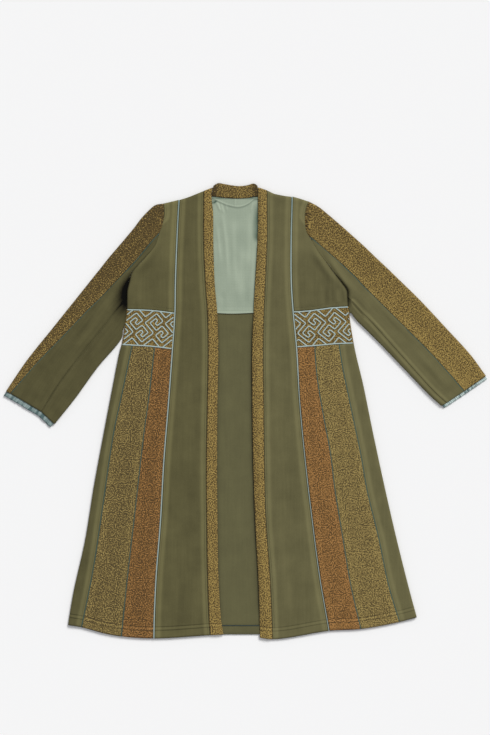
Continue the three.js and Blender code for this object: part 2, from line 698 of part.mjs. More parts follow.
// The fret and its teeth as strokes of cord, five repeats about the middle of the band.
function fretOf({ s, fretFrom }) {
  const spot = (v, repeat) => {
    const down = (v.down + FRET_STEP.down * repeat) * DOWN_LINE.pitch;
    const up = (v.up + FRET_STEP.up * repeat) * UP_LINE.pitch;
    const [downTurn, upTurn] = [DOWN_LINE.turn, UP_LINE.turn].map(THREE.MathUtils.degToRad);
    const x = down * Math.cos(downTurn) + up * Math.cos(upTurn);
    const y = down * Math.sin(downTurn) + up * Math.sin(upTurn);
    return { x: fretFrom.x - s * x, y: fretFrom.y + y };
  };
  const tooth = (tip, way, repeat) => [
    spot({ down: tip.down - way * TOOTH_LEG, up: tip.up }, repeat),
    spot(tip, repeat),
    spot({ down: tip.down, up: tip.up + way * TOOTH_LEG }, repeat),
  ];
  const repeats = [-2, -1, 0, 1, 2];
  return [
    repeats.flatMap((k) => FRET.map((v) => spot(v, k))),
    ...repeats.map((k) => tooth(TOOTH_TOP, 1, k)),
    ...repeats.map((k) => tooth(TOOTH_LOW, -1, k)),
  ];
}

// The border of the embroidery: its upper and lower cords, and a test for what lies inside them.
function borderOf({ s, waist, hip, edge, pipe }) {
  const farEnd = edge(-BORDER.fold);
  const nearEnd = pipe(PIPE_GAP + BORDER.pipe);
  const top = waist.map((v) => ({ x: v.x, y: v.y - BORDER.seam }));
  const low = hip.map((v) => ({ x: v.x, y: v.y + BORDER.seam }));
  const inside = (v) => v.y <= lineY(top, v.x) && v.y >= lineY(low, v.x)
    && s * v.x <= s * farEnd(v.y) && s * v.x >= s * nearEnd(v.y);
  const corner = (end, line) => {
    let { y } = line[0];
    for (let turn = 0; turn < 8; turn += 1) y = lineY(line, end(y));
    return { x: end(y), y };
  };
  const cordOn = (line) => {
    const [a, b] = [corner(farEnd, line), corner(nearEnd, line)].sort((p, q) => p.x - q.x);
    return [a, ...line.filter((v) => v.x > a.x + 1 && v.x < b.x - 1), b];
  };
  return { inside, cords: [cordOn(top), cordOn(low)] };
}

// The stretches of a stroke that lie inside.
function clip(stroke, inside) {
  const crossing = (a, b) => {
    let low = 0;
    let high = 1;
    for (let turn = 0; turn < 30; turn += 1) {
      const f = (low + high) / 2;
      if (inside({ x: mix(a.x, b.x, f), y: mix(a.y, b.y, f) })) low = f;
      else high = f;
    }
    return { x: mix(a.x, b.x, low), y: mix(a.y, b.y, low) };
  };
  const runs = [];
  let run = [];
  stroke.forEach((v, k) => {
    const before = stroke[k - 1];
    if (inside(v)) {
      if (before && !inside(before)) run.push(crossing(v, before));
      run.push(v);
    } else if (before && inside(before)) {
      run.push(crossing(before, v));
      runs.push(run);
      run = [];
    }
  });
  runs.push(run);
  return runs;
}

// A raised strip of cord along a stroke, with mitred corners.
function ribbon(path) {
  const one = [];
  const two = [];
  path.forEach((v, k) => {
    const before = path[Math.max(0, k - 1)];
    const after = path[Math.min(path.length - 1, k + 1)];
    const d1 = new THREE.Vector2(v.x - before.x, v.y - before.y);
    const d2 = new THREE.Vector2(after.x - v.x, after.y - v.y);
    if (k === 0) d1.copy(d2);
    if (k === path.length - 1) d2.copy(d1);
    d1.normalize();
    d2.normalize();
    const n = new THREE.Vector2(-(d1.y + d2.y), d1.x + d2.x).normalize();
    const reach = CORD_W / 2 / Math.max(0.4, n.x * -d1.y + n.y * d1.x);
    one.push({ x: v.x + n.x * reach, y: v.y + n.y * reach });
    two.unshift({ x: v.x - n.x * reach, y: v.y - n.y * reach });
  });
  return solidOf(sheet([...two, ...one], BAND_Z - CORD_SINK, CORD_SINK + CORD_H));
}

// The waistband with its embroidery on it.
function waistband(half) {
  const band = panel({
    ...half.between(half.edge(), half.pipe(PIPE_GAP)),
    ...half.fold(() => 1, LEVEL_FOLD),
    top: half.waist, bottom: half.hip, rows: 5, cols: 8, base: BAND_Z, flat: true,
  });
  const border = borderOf(half);
  const length = (path) => path.slice(1)
    .reduce((sum, v, k) => sum + Math.hypot(v.x - path[k].x, v.y - path[k].y), 0);
  const strokes = fretOf(half).flatMap((stroke) => clip(stroke, border.inside));
  const cords = [...strokes, ...border.cords].filter((path) => length(path) > CORD_W);
  const solid = wasm.Manifold.union([solidOf(wall(band, FLEECE)), ...cords.map(ribbon)]);
  add(`waistband_${half.name}`, geometryOf(solid), TWEED);
}

// Three gores from the waistband to the hem; the olive one rolls over the side fold.
function gores(half) {
  const { name, hip, hem, pipe, rust, mustard, edge } = half;
  add(`rust_gore_${name}`, wall(panel({
    ...half.between(rust(-SEAM), pipe(PIPE_GAP)), top: hip, bottom: hem, rows: 12, cols: 5,
  }), FLEECE), RUST);
  add(`mustard_gore_${name}`, wall(panel({
    ...half.between(mustard(-SEAM), rust(SEAM)), top: hip, bottom: hem, rows: 12, cols: 5,
  }), FLEECE), MUSTARD);
  add(`side_gore_${name}`, wall(panel({
    ...half.between(edge(), mustard(SEAM)),
    ...half.fold(() => 1, FOLD),
    top: hip, bottom: hem, rows: 12, cols: 3,
  }), FLEECE), OLIVE);
}

// Piping in the seam from the shoulder, where it climbs over the fold, to the hem.
function piping({ name, shoulder, hem, pipe }) {
  const line = pipe();
  const top = lineY(shoulder, line(shoulder[1].y)) - PIPE_START;
  const low = lineY(hem, line(hem[0].y)) + SEAM;
  const rest = PIPE_RISE.length;
  const path = [];
  for (let k = 0; k <= rest + PIPE_STEPS; k += 1) {
    const y = k < rest ? top - PIPE_RISE[k].down : mix(top - PIPE_LEVEL, low, (k - rest) / PIPE_STEPS);
    const lift = k < rest ? PIPE_RISE[k].lift : 0;
    path.push({ x: line(y), y, z: TOP_Z - PIPE_SINK + lift });
  }
  add(`piping_${name}`, cord(path, PIPE_W, PIPE_H), CORD);
}

// Knit top of the sleeve over its outer fold, and the fleece front beside it.
function sleeveFront(half) {
  const { name, sleeve, last, under } = half;
  const top = strip({
    stations: stationsOf(sleeve, 0, last, 45),
    first: half.along('outer'), second: half.along('seam'),
    rollA: () => 1, foldA: FOLD, cols: 5,
  });
  top[0] = top[0].map(([, y, z]) => [half.edge(2 * SEAM)(y), y, z]);
  add(`sleeve_top_${name}`, wall(top, FLEECE), TWEED);

  const front = strip({
    stations: stationsOf(sleeve, 1, last, 20),
    first: half.along('seam'), second: half.offBody(half.along('under')), cols: 5,
    dip: (t) => ARMPIT_DIP * ease(3, 6, t) * (1 - ease(under.seam - 0.5, under.seam + 0.8, t)),
  });
  add(`sleeve_front_${name}`, wall(front, FLEECE), OLIVE);
}

// Fleece back of the sleeve: from the underarm seam round the lower fold, and flat below.
function sleeveBack(half) {
  const { name, s, side, sleeve, last, under, meet } = half;
  const turned = strip({
    stations: stationsOf(sleeve, under.seam, last, 20),
    first: half.offBody(half.along('under')), second: half.offBody(half.along('low')),
    rollB: (t) => ease(under.free - 0.6, under.free + 0.25, t), foldB: WHOLE_FOLD, cols: 3,
  });
  const inside = (name1, name2, t) => {
    const [a, b] = [onSleeve(sleeve, name1, t), onSleeve(sleeve, name2, t)];
    const f = EDGE_IN / Math.hypot(b.x - a.x, b.y - a.y);
    return { x: mix(a.x, b.x, f), y: mix(a.y, b.y, f) };
  };
  const outline = [];
  for (let t = 0; t <= last; t += 1) outline.push(inside('outer', 'seam', t));
  outline[0].x = half.edge(CLEAR)(outline[0].y);
  outline.push(onSleeve(sleeve, 'seam', last), onSleeve(sleeve, 'under', last));
  for (let t = last; t >= under.free; t -= 1) outline.push(inside('low', 'under', t));
  const beside = side.filter((v) => v.y > meet + 8 && v.y < sleeve[0].outerY - 4).reverse();
  outline.push(...beside.map((v) => ({ x: v.x + s * CLEAR, y: v.y })));
  const solid = solidOf(sheet(outline, 0, FLEECE)).add(solidOf(wall(turned, FLEECE)));
  add(`sleeve_back_${name}`, geometryOf(solid), OLIVE);
}

// Cuff frill: a crinkled ribbon in a flattened ring, standing out past the cuff.
function cuffFrill({ name, s, sleeve, last, frill }) {
  const corners = ['outer', 'seam', 'under', 'low'].map((line) => onSleeve(sleeve, line, last));
  const lengths = corners.slice(1).map((v, k) => Math.hypot(v.x - corners[k].x, v.y - corners[k].y));
  const cuff = (f) => {
    let rest = f * lengths.reduce((a, b) => a + b);
    let k = 0;
    while (k < 2 && rest > lengths[k]) {
      rest -= lengths[k];
      k += 1;
    }
    const [a, b] = [corners[k], corners[k + 1]];
    return { x: mix(a.x, b.x, rest / lengths[k]), y: mix(a.y, b.y, rest / lengths[k]) };
  };
  const steps = PLEATS * 3;
  const rowAt = (reach, depth) => {
    const out = reach / Math.hypot(frill.x, frill.y);
    const place = (f, z) => {
      const v = cuff(f);
      return [v.x + frill.x * out, v.y + frill.y * out, z];
    };
    const layer = (z) => Array.from({ length: steps + 1 }, (_, k) => place(
      mix(FRILL_END, 1 - FRILL_END, k / steps),
      z + depth * Math.sin((2 * Math.PI * k) / 3 + 0.5),
    ));
    const row = [...layer(FRILL_Z.top), place(1, FRILL_Z.side), ...layer(FRILL_Z.low).reverse(),
      place(0, FRILL_Z.side)];
    return s < 0 ? row : row.reverse();
  };
  const ring = [rowAt(FRILL_START, 0.6 * FRILL_WAVE), rowAt(Math.hypot(frill.x, frill.y), FRILL_WAVE)];
  add(`cuff_frill_${name}`, wall(ring, FRILL, true), AQUA);
}

// Back of the body: one sheet under everything.
function backPanel([left, right]) {
  const down = (half) => half.side.map((v) => ({
    x: v.x - half.s * (v.y > half.meet ? 2 * SEAM : EDGE_IN),
    y: v.y,
  }));
  const hem = (half) => half.hem.slice(1, -1).map((v) => ({ x: v.x, y: v.y + HEM_IN }));
  const shoulder = (half) => half.shoulder.slice(1, -1).reverse()
    .map((v) => ({ x: v.x, y: v.y - EDGE_IN }));
  const leftSide = down(left);
  const rightSide = down(right).reverse();
  leftSide[0].y -= EDGE_IN;
  rightSide[rightSide.length - 1].y -= EDGE_IN;
  const outline = [
    ...leftSide, ...hem(left), ...BACK_HEM, ...hem(right), ...rightSide,
    ...shoulder(right), ...BACK_NECK, ...shoulder(left),
  ];
  add('back_panel', sheet(outline, 0, FLEECE), OLIVE);
}

// Neckband across the back of the neck, fallen open above the shoulders.
function neckbandBack() {
  const grid = NECK_RISE.map((r) => NECK_BAND.map((v) => [
    mix(v.topX, v.lowX, r.down), mix(v.top, v.low, r.down), r.z,
  ]));
  add('neckband_back', wall(grid, BAND), TWEED);
}

const halves = SIDES.map(halfOf);
for (const half of halves) {
  fronts(half);
  waistband(half);
  gores(half);
  piping(half);
  sleeveFront(half);
  sleeveBack(half);
  cuffFrill(half);
}
backPanel(halves);
add('back_lining', sheet(YOKE, LINING_Z, LINING), SAGE);
neckbandBack();

// the origin lies on the floor under the middle of the coat's box
const box = new THREE.Box3().setFromObject(coat);
const middle = box.getCenter(new THREE.Vector3());
coat.position.set(-middle.x, -middle.y, -box.min.z);

export default coat;
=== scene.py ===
# A long open-front coat of olive fleece and flecked tweed jersey, lying flat on its back, seen
# from straight above. Sizes are in millimetres in the coat's own drawing, which `placed` turns
# into metres in the frame of the solids. "left" and "right" are as seen from above.
import math

import bmesh
import bpy
import numpy as np
from mathutils import Matrix, Vector, noise


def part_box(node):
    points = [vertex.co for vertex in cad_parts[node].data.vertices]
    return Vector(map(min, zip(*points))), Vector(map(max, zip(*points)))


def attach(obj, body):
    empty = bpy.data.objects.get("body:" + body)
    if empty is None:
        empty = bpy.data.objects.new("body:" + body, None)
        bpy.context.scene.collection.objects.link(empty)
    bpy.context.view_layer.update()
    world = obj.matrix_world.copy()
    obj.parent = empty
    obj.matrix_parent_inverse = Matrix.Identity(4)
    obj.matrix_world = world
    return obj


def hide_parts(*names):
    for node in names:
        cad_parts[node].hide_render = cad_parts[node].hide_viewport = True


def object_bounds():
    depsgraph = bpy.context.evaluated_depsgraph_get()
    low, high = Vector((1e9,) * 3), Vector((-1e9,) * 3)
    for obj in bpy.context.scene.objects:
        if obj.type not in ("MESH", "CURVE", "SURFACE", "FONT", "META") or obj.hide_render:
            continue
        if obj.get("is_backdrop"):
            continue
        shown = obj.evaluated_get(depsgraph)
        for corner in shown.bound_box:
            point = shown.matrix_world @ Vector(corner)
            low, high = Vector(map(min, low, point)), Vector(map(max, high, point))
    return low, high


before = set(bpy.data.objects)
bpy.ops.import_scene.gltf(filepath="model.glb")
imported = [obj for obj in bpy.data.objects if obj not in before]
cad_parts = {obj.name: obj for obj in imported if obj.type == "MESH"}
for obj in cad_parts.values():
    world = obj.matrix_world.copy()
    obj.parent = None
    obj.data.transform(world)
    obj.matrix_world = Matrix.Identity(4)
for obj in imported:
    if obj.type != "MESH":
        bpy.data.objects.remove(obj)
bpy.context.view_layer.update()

# ---------------------------------------------------------------------------
# Table top and light.
# A sheet of matte white backdrop paper in a pale room, lit by one large lamp beyond the neck,
# a little to the right. The camera hangs over the coat, level with it.
MM = 0.001
YOKE_CORNER = (-268.0, 245.5)     # left lower corner of the yoke lining in the coat's drawing
SOLID_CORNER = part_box("back_lining")[0]
SHIFT = np.array([SOLID_CORNER[0] / MM - YOKE_CORNER[0], SOLID_CORNER[1] / MM - YOKE_CORNER[1], 0.0])
VIEW_LENGTH = 1837.5              # length of table in view, from top to bottom
VIEW_CENTRE = (-1.25, 110.0)
LENS = 85.0
SENSOR = 36.0
COAT_TOP = 6.0                    # height of the coat's upper side, where the view has that length
PAPER_REACH = 4000.0              # from the middle of the paper to its edges
PAPER_DROP = 0.4                  # how far it gives way under the coat
LAMP_WAY = Vector((-0.58, -0.95, -0.95))   # the way that the lamp's light falls


def placed(points):
    """From millimetres in the coat's drawing to metres in the frame."""
    return (np.asarray(points, dtype=float) + SHIFT) * MM


def linear(code):
    """From an sRGB hex colour to the linear one that a shader takes."""
    shades = [int(code[k:k + 2], 16) / 255 for k in (1, 3, 5)]
    return tuple(s / 12.92 if s <= 0.04045 else ((s + 0.055) / 1.055) ** 2.4 for s in shades) + (1.0,)


def add(tree, kind, sockets=None, **settings):
    made = tree.nodes.new(kind)
    for key, value in settings.items():
        setattr(made, key, value)
    for key, value in (sockets or {}).items():
        if isinstance(value, bpy.types.NodeSocket):
            tree.links.new(value, made.inputs[key])
        else:
            made.inputs[key].default_value = value
    return made


def bare_material(name):
    made = bpy.data.materials.new(name)
    made.use_nodes = True
    made.node_tree.nodes.clear()
    return made, made.node_tree


def surface(tree, sockets):
    shader = add(tree, "ShaderNodeBsdfPrincipled", sockets)
    add(tree, "ShaderNodeOutputMaterial", {"Surface": shader.outputs["BSDF"]})


def linked(name, data):
    made = bpy.data.objects.new(name, data)
    bpy.context.scene.collection.objects.link(made)
    return made


scene = bpy.context.scene
scene.view_settings.view_transform = "Standard"

# matte paper: an even white with no gloss
paper, tree = bare_material("matte backdrop paper")
surface(tree, {"Base Color": linear("#f7f7f7"), "Roughness": 0.9, "Specular IOR Level": 0.2})

table_form = bmesh.new()
bmesh.ops.create_grid(table_form, x_segments=1, y_segments=1, size=PAPER_REACH * MM)
bmesh.ops.translate(table_form, verts=table_form.verts, vec=(0, 0, -PAPER_DROP * MM))
table_mesh = bpy.data.meshes.new("table_top")
table_form.to_mesh(table_mesh)
table_form.free()
table_mesh.materials.append(paper)
linked("table_top", table_mesh)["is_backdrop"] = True

world = bpy.data.worlds.new("pale room")
scene.world = world
world.use_nodes = True
world.node_tree.nodes.clear()
room = add(world.node_tree, "ShaderNodeBackground", {"Color": linear("#f6f7fb"), "Strength": 0.52})
add(world.node_tree, "ShaderNodeOutputWorld", {"Surface": room.outputs["Background"]})

lamp = bpy.data.lights.new("neck_lamp", "SUN")
lamp.energy = 2.45
lamp.angle = math.radians(24)
lamp.color = linear("#fffefb")[:3]
linked("neck_lamp", lamp).rotation_euler = LAMP_WAY.to_track_quat("-Z", "Y").to_euler()

eye = bpy.data.cameras.new("overhead")
eye.lens = LENS
eye.sensor_fit = "VERTICAL"
eye.sensor_width = SENSOR
eye.sensor_height = SENSOR
camera = linked("overhead", eye)
camera.location = placed((*VIEW_CENTRE, VIEW_LENGTH * LENS / SENSOR + COAT_TOP))
scene.camera = camera

# ---------------------------------------------------------------------------
# Back panel: one piece of olive fleece from the shoulders to the hem, seamed to the fronts and
# lying flat on the table. Its inner side shows between the fronts, below the yoke lining,
# slightly rumpled.
FLEECE = 1.8                      # thickness of the brushed fleece
BACK_TOP = 2.2                    # height of its upper face
FAR_OFF = 1000.0                  # stands for the distance to a seam or hem that a piece lacks
HALVES = (("left", -1), ("right", 1))


def table(columns, *rows):
    """A table with named columns; None leaves a place empty."""
    values = np.array([[np.nan if v is None else v for v in row] for row in rows], dtype=float)
    return dict(zip(columns.split(), values.T))


# sides of the body as seen from above, from the armholes to the hem
SIDE = {
    "left": table(
        "y x", (520, -205), (506, -204), (489, -204), (469, -207), (446.5, -215), (411, -227.5),
        (385.5, -250), (366, -269), (349.5, -284), (326, -290.5), (303, -296), (284, -297),
        (256, -297.5), (224, -301), (175, -308), (149, -315), (69, -331), (-51, -354),
        (-186, -379), (-321, -401), (-456, -431), (-540, -445),
    ),
    "right": table(
        "y x", (525, 158.5), (509, 152), (487, 148.5), (466, 149), (446.5, 153.5), (432.5, 162.5),
        (415, 172.5), (393, 186.5), (370, 205), (349.5, 220.5), (323, 240.5), (303, 254),
        (284, 256), (254, 259), (231.5, 261), (169, 271), (144, 276), (69, 294), (-51, 318.5),
        (-186, 347.5), (-321, 378.5), (-456, 412.5), (-520, 430),
    ),
}
# long seams of the fronts: the band's free inner edge, its seam, and the piping beside the panel
SEAMS = {
    "left": table(
        "y inner outer piping", (562, -81.5, -104, -164.5), (539, -85, -104.5, -165.5),
        (500, -81.2, -105, -168), (429, -80.5, -105, -171.5), (316, -76.7, -100.3, -175.5),
        (249, -70.7, -95.5, -176.5), (159, -68, -93.5, -182.5), (29, -70, -95.5, -192),
        (-121, -71, -98, -204), (-271, -70, -97.3, -212.5), (-421, -67, -94.8, -224),
        (-530, -59.8, -90.6, -228.5), (-562, -54, -88, -229),
    ),
    "right": table(
        "y inner outer piping", (562, 30.5, 53, 116.5), (539, 31, 53.5, 116.5), (429, 30, 53.7, 114),
        (316, 23.5, 49, 114.5), (249, 20, 46, 119), (159, 16.5, 44, 127.5), (29, 16.8, 45.2, 135),
        (-121, 19, 46.8, 149), (-271, 24, 50.7, 166.5), (-421, 32, 61.5, 186.5),
        (-530, 35.3, 66.3, 205.5), (-575, 35.5, 67.5, 213),
    ),
}
BACK_NECK = table(
    "x y", (-205, 518.9), (-156, 531.4), (-103, 551), (-84.8, 538.2), (-55, 534.2), (-15, 532.1),
    (4, 533.5), (31.3, 538.2), (53.5, 552), (76, 542.9), (119, 535.9), (158.5, 523.9),
)
BACK_HEM = table(
    "x y", (-444, -532.5), (-409.5, -538.5), (-354, -553.5), (-311.5, -561), (-229, -566),
    (-88, -558), (-60, -557.5), (40, -557.5), (67, -567.5), (210, -547), (288.5, -542.5),
    (385, -525), (429, -513),
)
BACK_RUMPLES = table(
    "ax ay bx by wide rise", (-60, 170, -40, -120, 9, 0.7), (10, 230, -5, 60, 7, 0.5),
    (-50, -180, 15, -420, 11, 0.7), (-25, 60, -30, -260, 8, -0.5),
)


def curve(rows, key, value):
    """Smooth line through the rows of a table, straight on beyond its ends."""
    known = np.isfinite(rows[value])
    at, to = rows[key][known], rows[value][known]
    if at[0] > at[-1]:
        at, to = at[::-1], to[::-1]
    slope = np.diff(to) / np.diff(at)
    lean = np.concatenate(([slope[0]], (slope[:-1] + slope[1:]) / 2, [slope[-1]]))

    def line(v):
        k = np.clip(np.searchsorted(at, v) - 1, 0, len(at) - 2)
        step = at[k + 1] - at[k]
        f = np.clip((v - at[k]) / step, 0, 1)
        g = 1 - f
        inner = to[k] * g * g * (1 + 2 * f) + to[k + 1] * f * f * (3 - 2 * f)
        bend = step * f * g * (lean[k] * g - lean[k + 1] * f)
        beyond = lean[0] * np.minimum(0, v - at[0]) + lean[-1] * np.maximum(0, v - at[-1])
        return inner + bend + beyond

    return line


def moved(line, by):
    return lambda v: line(v) + by


def ease(a, b, v):
    f = np.clip((v - a) / (b - a), 0, 1)
    return f * f * (3 - 2 * f)


def mix(a, b, f):
    return a + (b - a) * f


def ridge(off, wide):
    return np.exp(-(off / wide) ** 2)


def creases(x, y, rows):
    """Soft ridges, troughs where `rise` is below 0, on lines from a to b that fade at both ends.
    `bow` bends a line sideways."""
    z = np.zeros_like(x)
    bows = rows.get("bow", np.zeros_like(rows["ax"]))
    for ax, ay, bx, by, wide, rise, bow in zip(*(rows[k] for k in "ax ay bx by wide rise".split()), bows):
        length = math.hypot(bx - ax, by - ay)
        ux, uy = (bx - ax) / length, (by - ay) / length
        f = ((x - ax) * ux + (y - ay) * uy) / length
        off = (y - ay) * ux - (x - ax) * uy - bow * np.sin(np.pi * np.clip(f, 0, 1))
        z += rise * ridge(off, wide) * ease(-0.1, 0.3, f) * (1 - ease(0.7, 1.1, f))
    return z


def unevenness(x, y, size, seed):
    """Slow rise and fall of cloth that was smoothed out by hand, from -1 to 1."""
    return np.array([noise.noise((a / size, b / size, seed)) for a, b in zip(x, y)])


def crowded(f, share):
    """Grid lines closer together at both ends of a piece, where its seams are."""
    return f - share * np.sin(2 * np.pi * f) / (2 * np.pi)


def cloth(name, cols, rows, thick, material, place):
    """A piece of cloth on a grid. place(u, v) gives in mm the upper face as x, y, z; where each
    point lies in the flat cut, as across and along; its distances from the nearest `seam` and
    from the `hem`; and its tone, from 0 to 1 where painted light makes it pale, below 0 where
    painted shade lies deep in a fold."""
    bm = bmesh.new()
    bmesh.ops.create_grid(bm, x_segments=cols, y_segments=rows, size=0.5)
    u = np.array([v.co.x + 0.5 for v in bm.verts])
    v = np.array([0.5 - v.co.y for v in bm.verts])
    spot = {"seam": FAR_OFF, "hem": FAR_OFF, "tone": 0.3, **place(u, v)}
    spot = {key: np.broadcast_to(value, u.shape) for key, value in spot.items()}
    tone = bm.verts.layers.float.new("tone")
    where = placed(np.stack((spot["x"], spot["y"], spot["z"]), 1))
    for vert, co, level in zip(bm.verts, where, spot["tone"]):
        vert.co = co
        vert[tone] = level
    flat = np.stack((spot["across"], spot["along"]), 1) * MM
    edge = np.stack((spot["seam"], spot["hem"]), 1) * MM
    cut_layer = bm.loops.layers.uv.new("cut")
    edge_layer = bm.loops.layers.uv.new("edge")
    for face in bm.faces:
        face.smooth = True
        for loop in face.loops:
            loop[cut_layer].uv = flat[loop.vert.index]
            loop[edge_layer].uv = edge[loop.vert.index]
    bm.normal_update()
    if sum(face.normal.z for face in bm.faces) < 0:
        bmesh.ops.reverse_faces(bm, faces=bm.faces)
    piece = solid_piece(name, bm, material)
    wall = piece.modifiers.new("thickness", "SOLIDIFY")
    wall.thickness = thick * MM
    wall.offset = -1.0
    return piece


def solid_piece(name, bm, material):
    mesh = bpy.data.meshes.new(name)
    bm.to_mesh(mesh)
    bm.free()
    mesh.materials.append(material)
    return linked(name, mesh)


def lay(piece, nodes):
    """Sets a piece of cloth on the coat's body and hides the solids that it stands in for."""
    sewn_on(piece, nodes)


def sewn_on(piece, nodes=()):
    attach(piece, "root")
    if nodes:
        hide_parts(*nodes)
    return piece


def layers(tree):
    """What cloth() gives each point: where it lies in the flat cut, and its tone."""
    cut = add(tree, "ShaderNodeUVMap", uv_map="cut").outputs["UV"]
    tone = add(tree, "ShaderNodeAttribute", attribute_name="tone").outputs["Fac"]
    return cut, tone


def calc(tree, operation, *values):
    return add(tree, "ShaderNodeMath", dict(enumerate(values)), operation=operation).outputs[0]


def specks(tree, where, size, **settings):
    """Noise with patches of about `size` mm."""
    settings = {"Vector": where, "Scale": 1 / (size * MM), **settings}
    return add(tree, "ShaderNodeTexNoise", settings).outputs["Fac"]


def stripes(tree, where, way, pitch, bend):
    """Threads or ribs side by side, `pitch` mm apart."""
    return add(tree, "ShaderNodeTexWave", {
        "Vector": where, "Scale": 1 / (20 * pitch * MM), "Distortion": bend, "Detail": 1.0,
    }, wave_type="BANDS", bands_direction=way).outputs["Fac"]


def tinted(tree, share, deep, pale, clamped=False):
    """A blend of two hex colours, which goes on past them unless it is clamped."""
    # 6 and 7 are the two colours that a Mix node takes, and 2 the one that it gives
    return add(tree, "ShaderNodeMix", {
        "Factor": share, 6: linear(deep), 7: linear(pale),
    }, data_type="RGBA", clamp_factor=clamped).outputs[2]


def raised(tree, height, strength, depth, **under):
    sockets = {"Height": height, "Strength": strength, "Distance": depth * MM, **under}
    return add(tree, "ShaderNodeBump", sockets).outputs["Normal"]


def stops(tree, source, reach, rows):
    """A soft profile from 0 to 1 over a distance in mm, through rows of distance and level, of
    which the first two are its ends."""
    ramp = add(tree, "ShaderNodeValToRGB", {"Fac": calc(tree, "MULTIPLY", source, 1 / (reach * MM))})
    marks = ramp.color_ramp.elements
    for k, (distance, level) in enumerate(rows):
        mark = marks[k] if k < 2 else marks.new(distance / reach)
        mark.position = distance / reach
        mark.color = (level, level, level, 1)
    return ramp.outputs["Color"]


def weighted(tree, start, *terms):
    """start plus weight times (source - 0.5) for each term."""
    total = start
    for source, weight in terms:
        centred = calc(tree, "SUBTRACT", source, 0.5)
        total = calc(tree, "MULTIPLY_ADD", centred, weight, total)
    return total


def sewing_relief(tree):
    """Levels beside seams and hems. The pressed-back seam allowance shows through as a flat rise
    15 mm wide with a fine line at 5.5 mm; the hem is held by two rows of stitches."""
    edge = add(tree, "ShaderNodeUVMap", uv_map="edge").outputs["UV"]
    apart = add(tree, "ShaderNodeSeparateXYZ", {"Vector": edge}).outputs
    seam = stops(tree, apart["X"], 30, (
        (0, 0.0), (30, 0.45), (1.0, 0.15), (2.4, 0.8), (4.6, 0.85), (5.6, 0.55), (6.8, 0.85),
        (12.5, 0.85), (15.5, 0.6), (19, 0.45),
    ))
    hem = stops(tree, apart["Y"], 45, (
        (0, 0.35), (45, 0.5), (1.2, 0.62), (18.2, 0.58), (20, 0.1), (21.8, 0.6), (24.5, 0.75),
        (27.2, 0.6), (29, 0.1), (30.8, 0.52),
    ))
    return seam, hem


def fleece(name, deep, pale, relief=1.0):
    """Brushed fleece: dead matt with a soft bloom. Paler with the painted light of its tone and
    where raised over a seam allowance, darker with painted shade in folds and in the groove beside
    a seam, faintly clouded, and streaked along the nap, which runs down the coat."""
    made, tree = bare_material(name)
    cut, tone = layers(tree)
    # shade lies in the folds of the upper side alone; the side that is laid down is even
    normal = add(tree, "ShaderNodeTexCoord").outputs["Normal"]
    facing = add(tree, "ShaderNodeSeparateXYZ", {"Vector": normal}).outputs["Z"]
    upper = add(tree, "ShaderNodeMapRange", {"Value": facing, "From Min": -0.5, "From Max": -0.1})
    tone = add(tree, "ShaderNodeMix", {"Factor": upper.outputs[0], "A": 0.3, "B": tone}).outputs[0]
    seam, hem = sewing_relief(tree)
    drawn = add(tree, "ShaderNodeMapping", {"Vector": cut, "Scale": (1.0, 0.05, 1.0)}).outputs["Vector"]
    clouds = specks(tree, cut, 45, Detail=3.0, Roughness=0.55)
    nap = specks(tree, drawn, 5, Roughness=0.55)
    # the pile is finer than a millimetre; it is drawn coarser so that it shows at all
    pile = specks(tree, cut, 2.2, Detail=3.0, Roughness=0.7)
    shade = weighted(
        tree, tone, (clouds, 0.6), (nap, 0.3), (pile, 0.6), (seam, 1.3 * relief), (hem, 1.2 * relief),
    )
    sewn = raised(tree, calc(tree, "ADD", seam, hem), 1.0, 0.9 * relief)
    surface(tree, {
        "Base Color": tinted(tree, shade, deep, pale), "Roughness": 0.95, "Specular IOR Level": 0.15,
        "Normal": raised(tree, pile, 0.4, 0.6, Normal=sewn), "Sheen Weight": 0.15,
        "Sheen Roughness": 0.5, "Sheen Tint": linear("#b9b48a"),
    })
    return made


# one fleece in three copies, the left darker and the right paler: painted shade and painted
# light for the lamp, which stands to the right
OLIVE = {
    "left": fleece("brushed olive fleece, left", "#514d32", "#716c48", 1.15),
    "right": fleece("brushed olive fleece, right", "#595539", "#797450", 0.88),
    "back": fleece("brushed olive fleece, back", "#57543a", "#6f6c4a", 0.0),
}
EDGE = {name: curve(rows, "y", "x") for name, rows in SIDE.items()}
LINES = {
    (name, line): curve(rows, "y", line)
    for name, rows in SEAMS.items() for line in ("inner", "outer", "piping")
}


def between(u, v, left, right, top, bottom):
    """A point that lies a share u across and v down from one line to another, from above."""
    x = np.zeros_like(u)
    y = np.zeros_like(u)
    for _ in range(8):            # each pass comes nearer to where the two shares cross
        y = mix(top(x), bottom(x), v)
        x = mix(left(y), right(y), u)
    return x, y


def back_shape(u, v):
    x, y = between(
        np.interp(u, [0, 0.1, 0.9, 1], [0, 0.38, 0.56, 1]), crowded(v, 0.3),
        moved(EDGE["left"], 1.1), moved(EDGE["right"], -1.1),
        lambda x: np.interp(x, BACK_NECK["x"], BACK_NECK["y"]),
        lambda x: np.interp(x, BACK_HEM["x"], BACK_HEM["y"]),
    )
    shown = ease(-85, -60, x) * (1 - ease(25, 50, x)) * (1 - ease(200, 250, y)) * ease(-520, -480, y)
    z = BACK_TOP + shown * (creases(x, y, BACK_RUMPLES) + 0.3 * unevenness(x, y, 60, 1.0))
    # painted shade beside the bands, deeper at the right one, which stands between the cloth and
    # the lamp, and painted shadow below the free lower edge of the yoke lining
    left, right = (LINES[name, "inner"](y) for name in ("left", "right"))
    tone = 0.35 - 1.3 * np.exp(-np.maximum(0, right - x) / 4) * (x < right + 6)
    tone = tone - 0.7 * np.exp(-np.maximum(0, x - left) / 3) - 0.8 * ridge(y - 244, 5)
    return {"x": x, "y": y, "z": z, "across": x, "along": y, "tone": mix(0.35, tone, shown)}


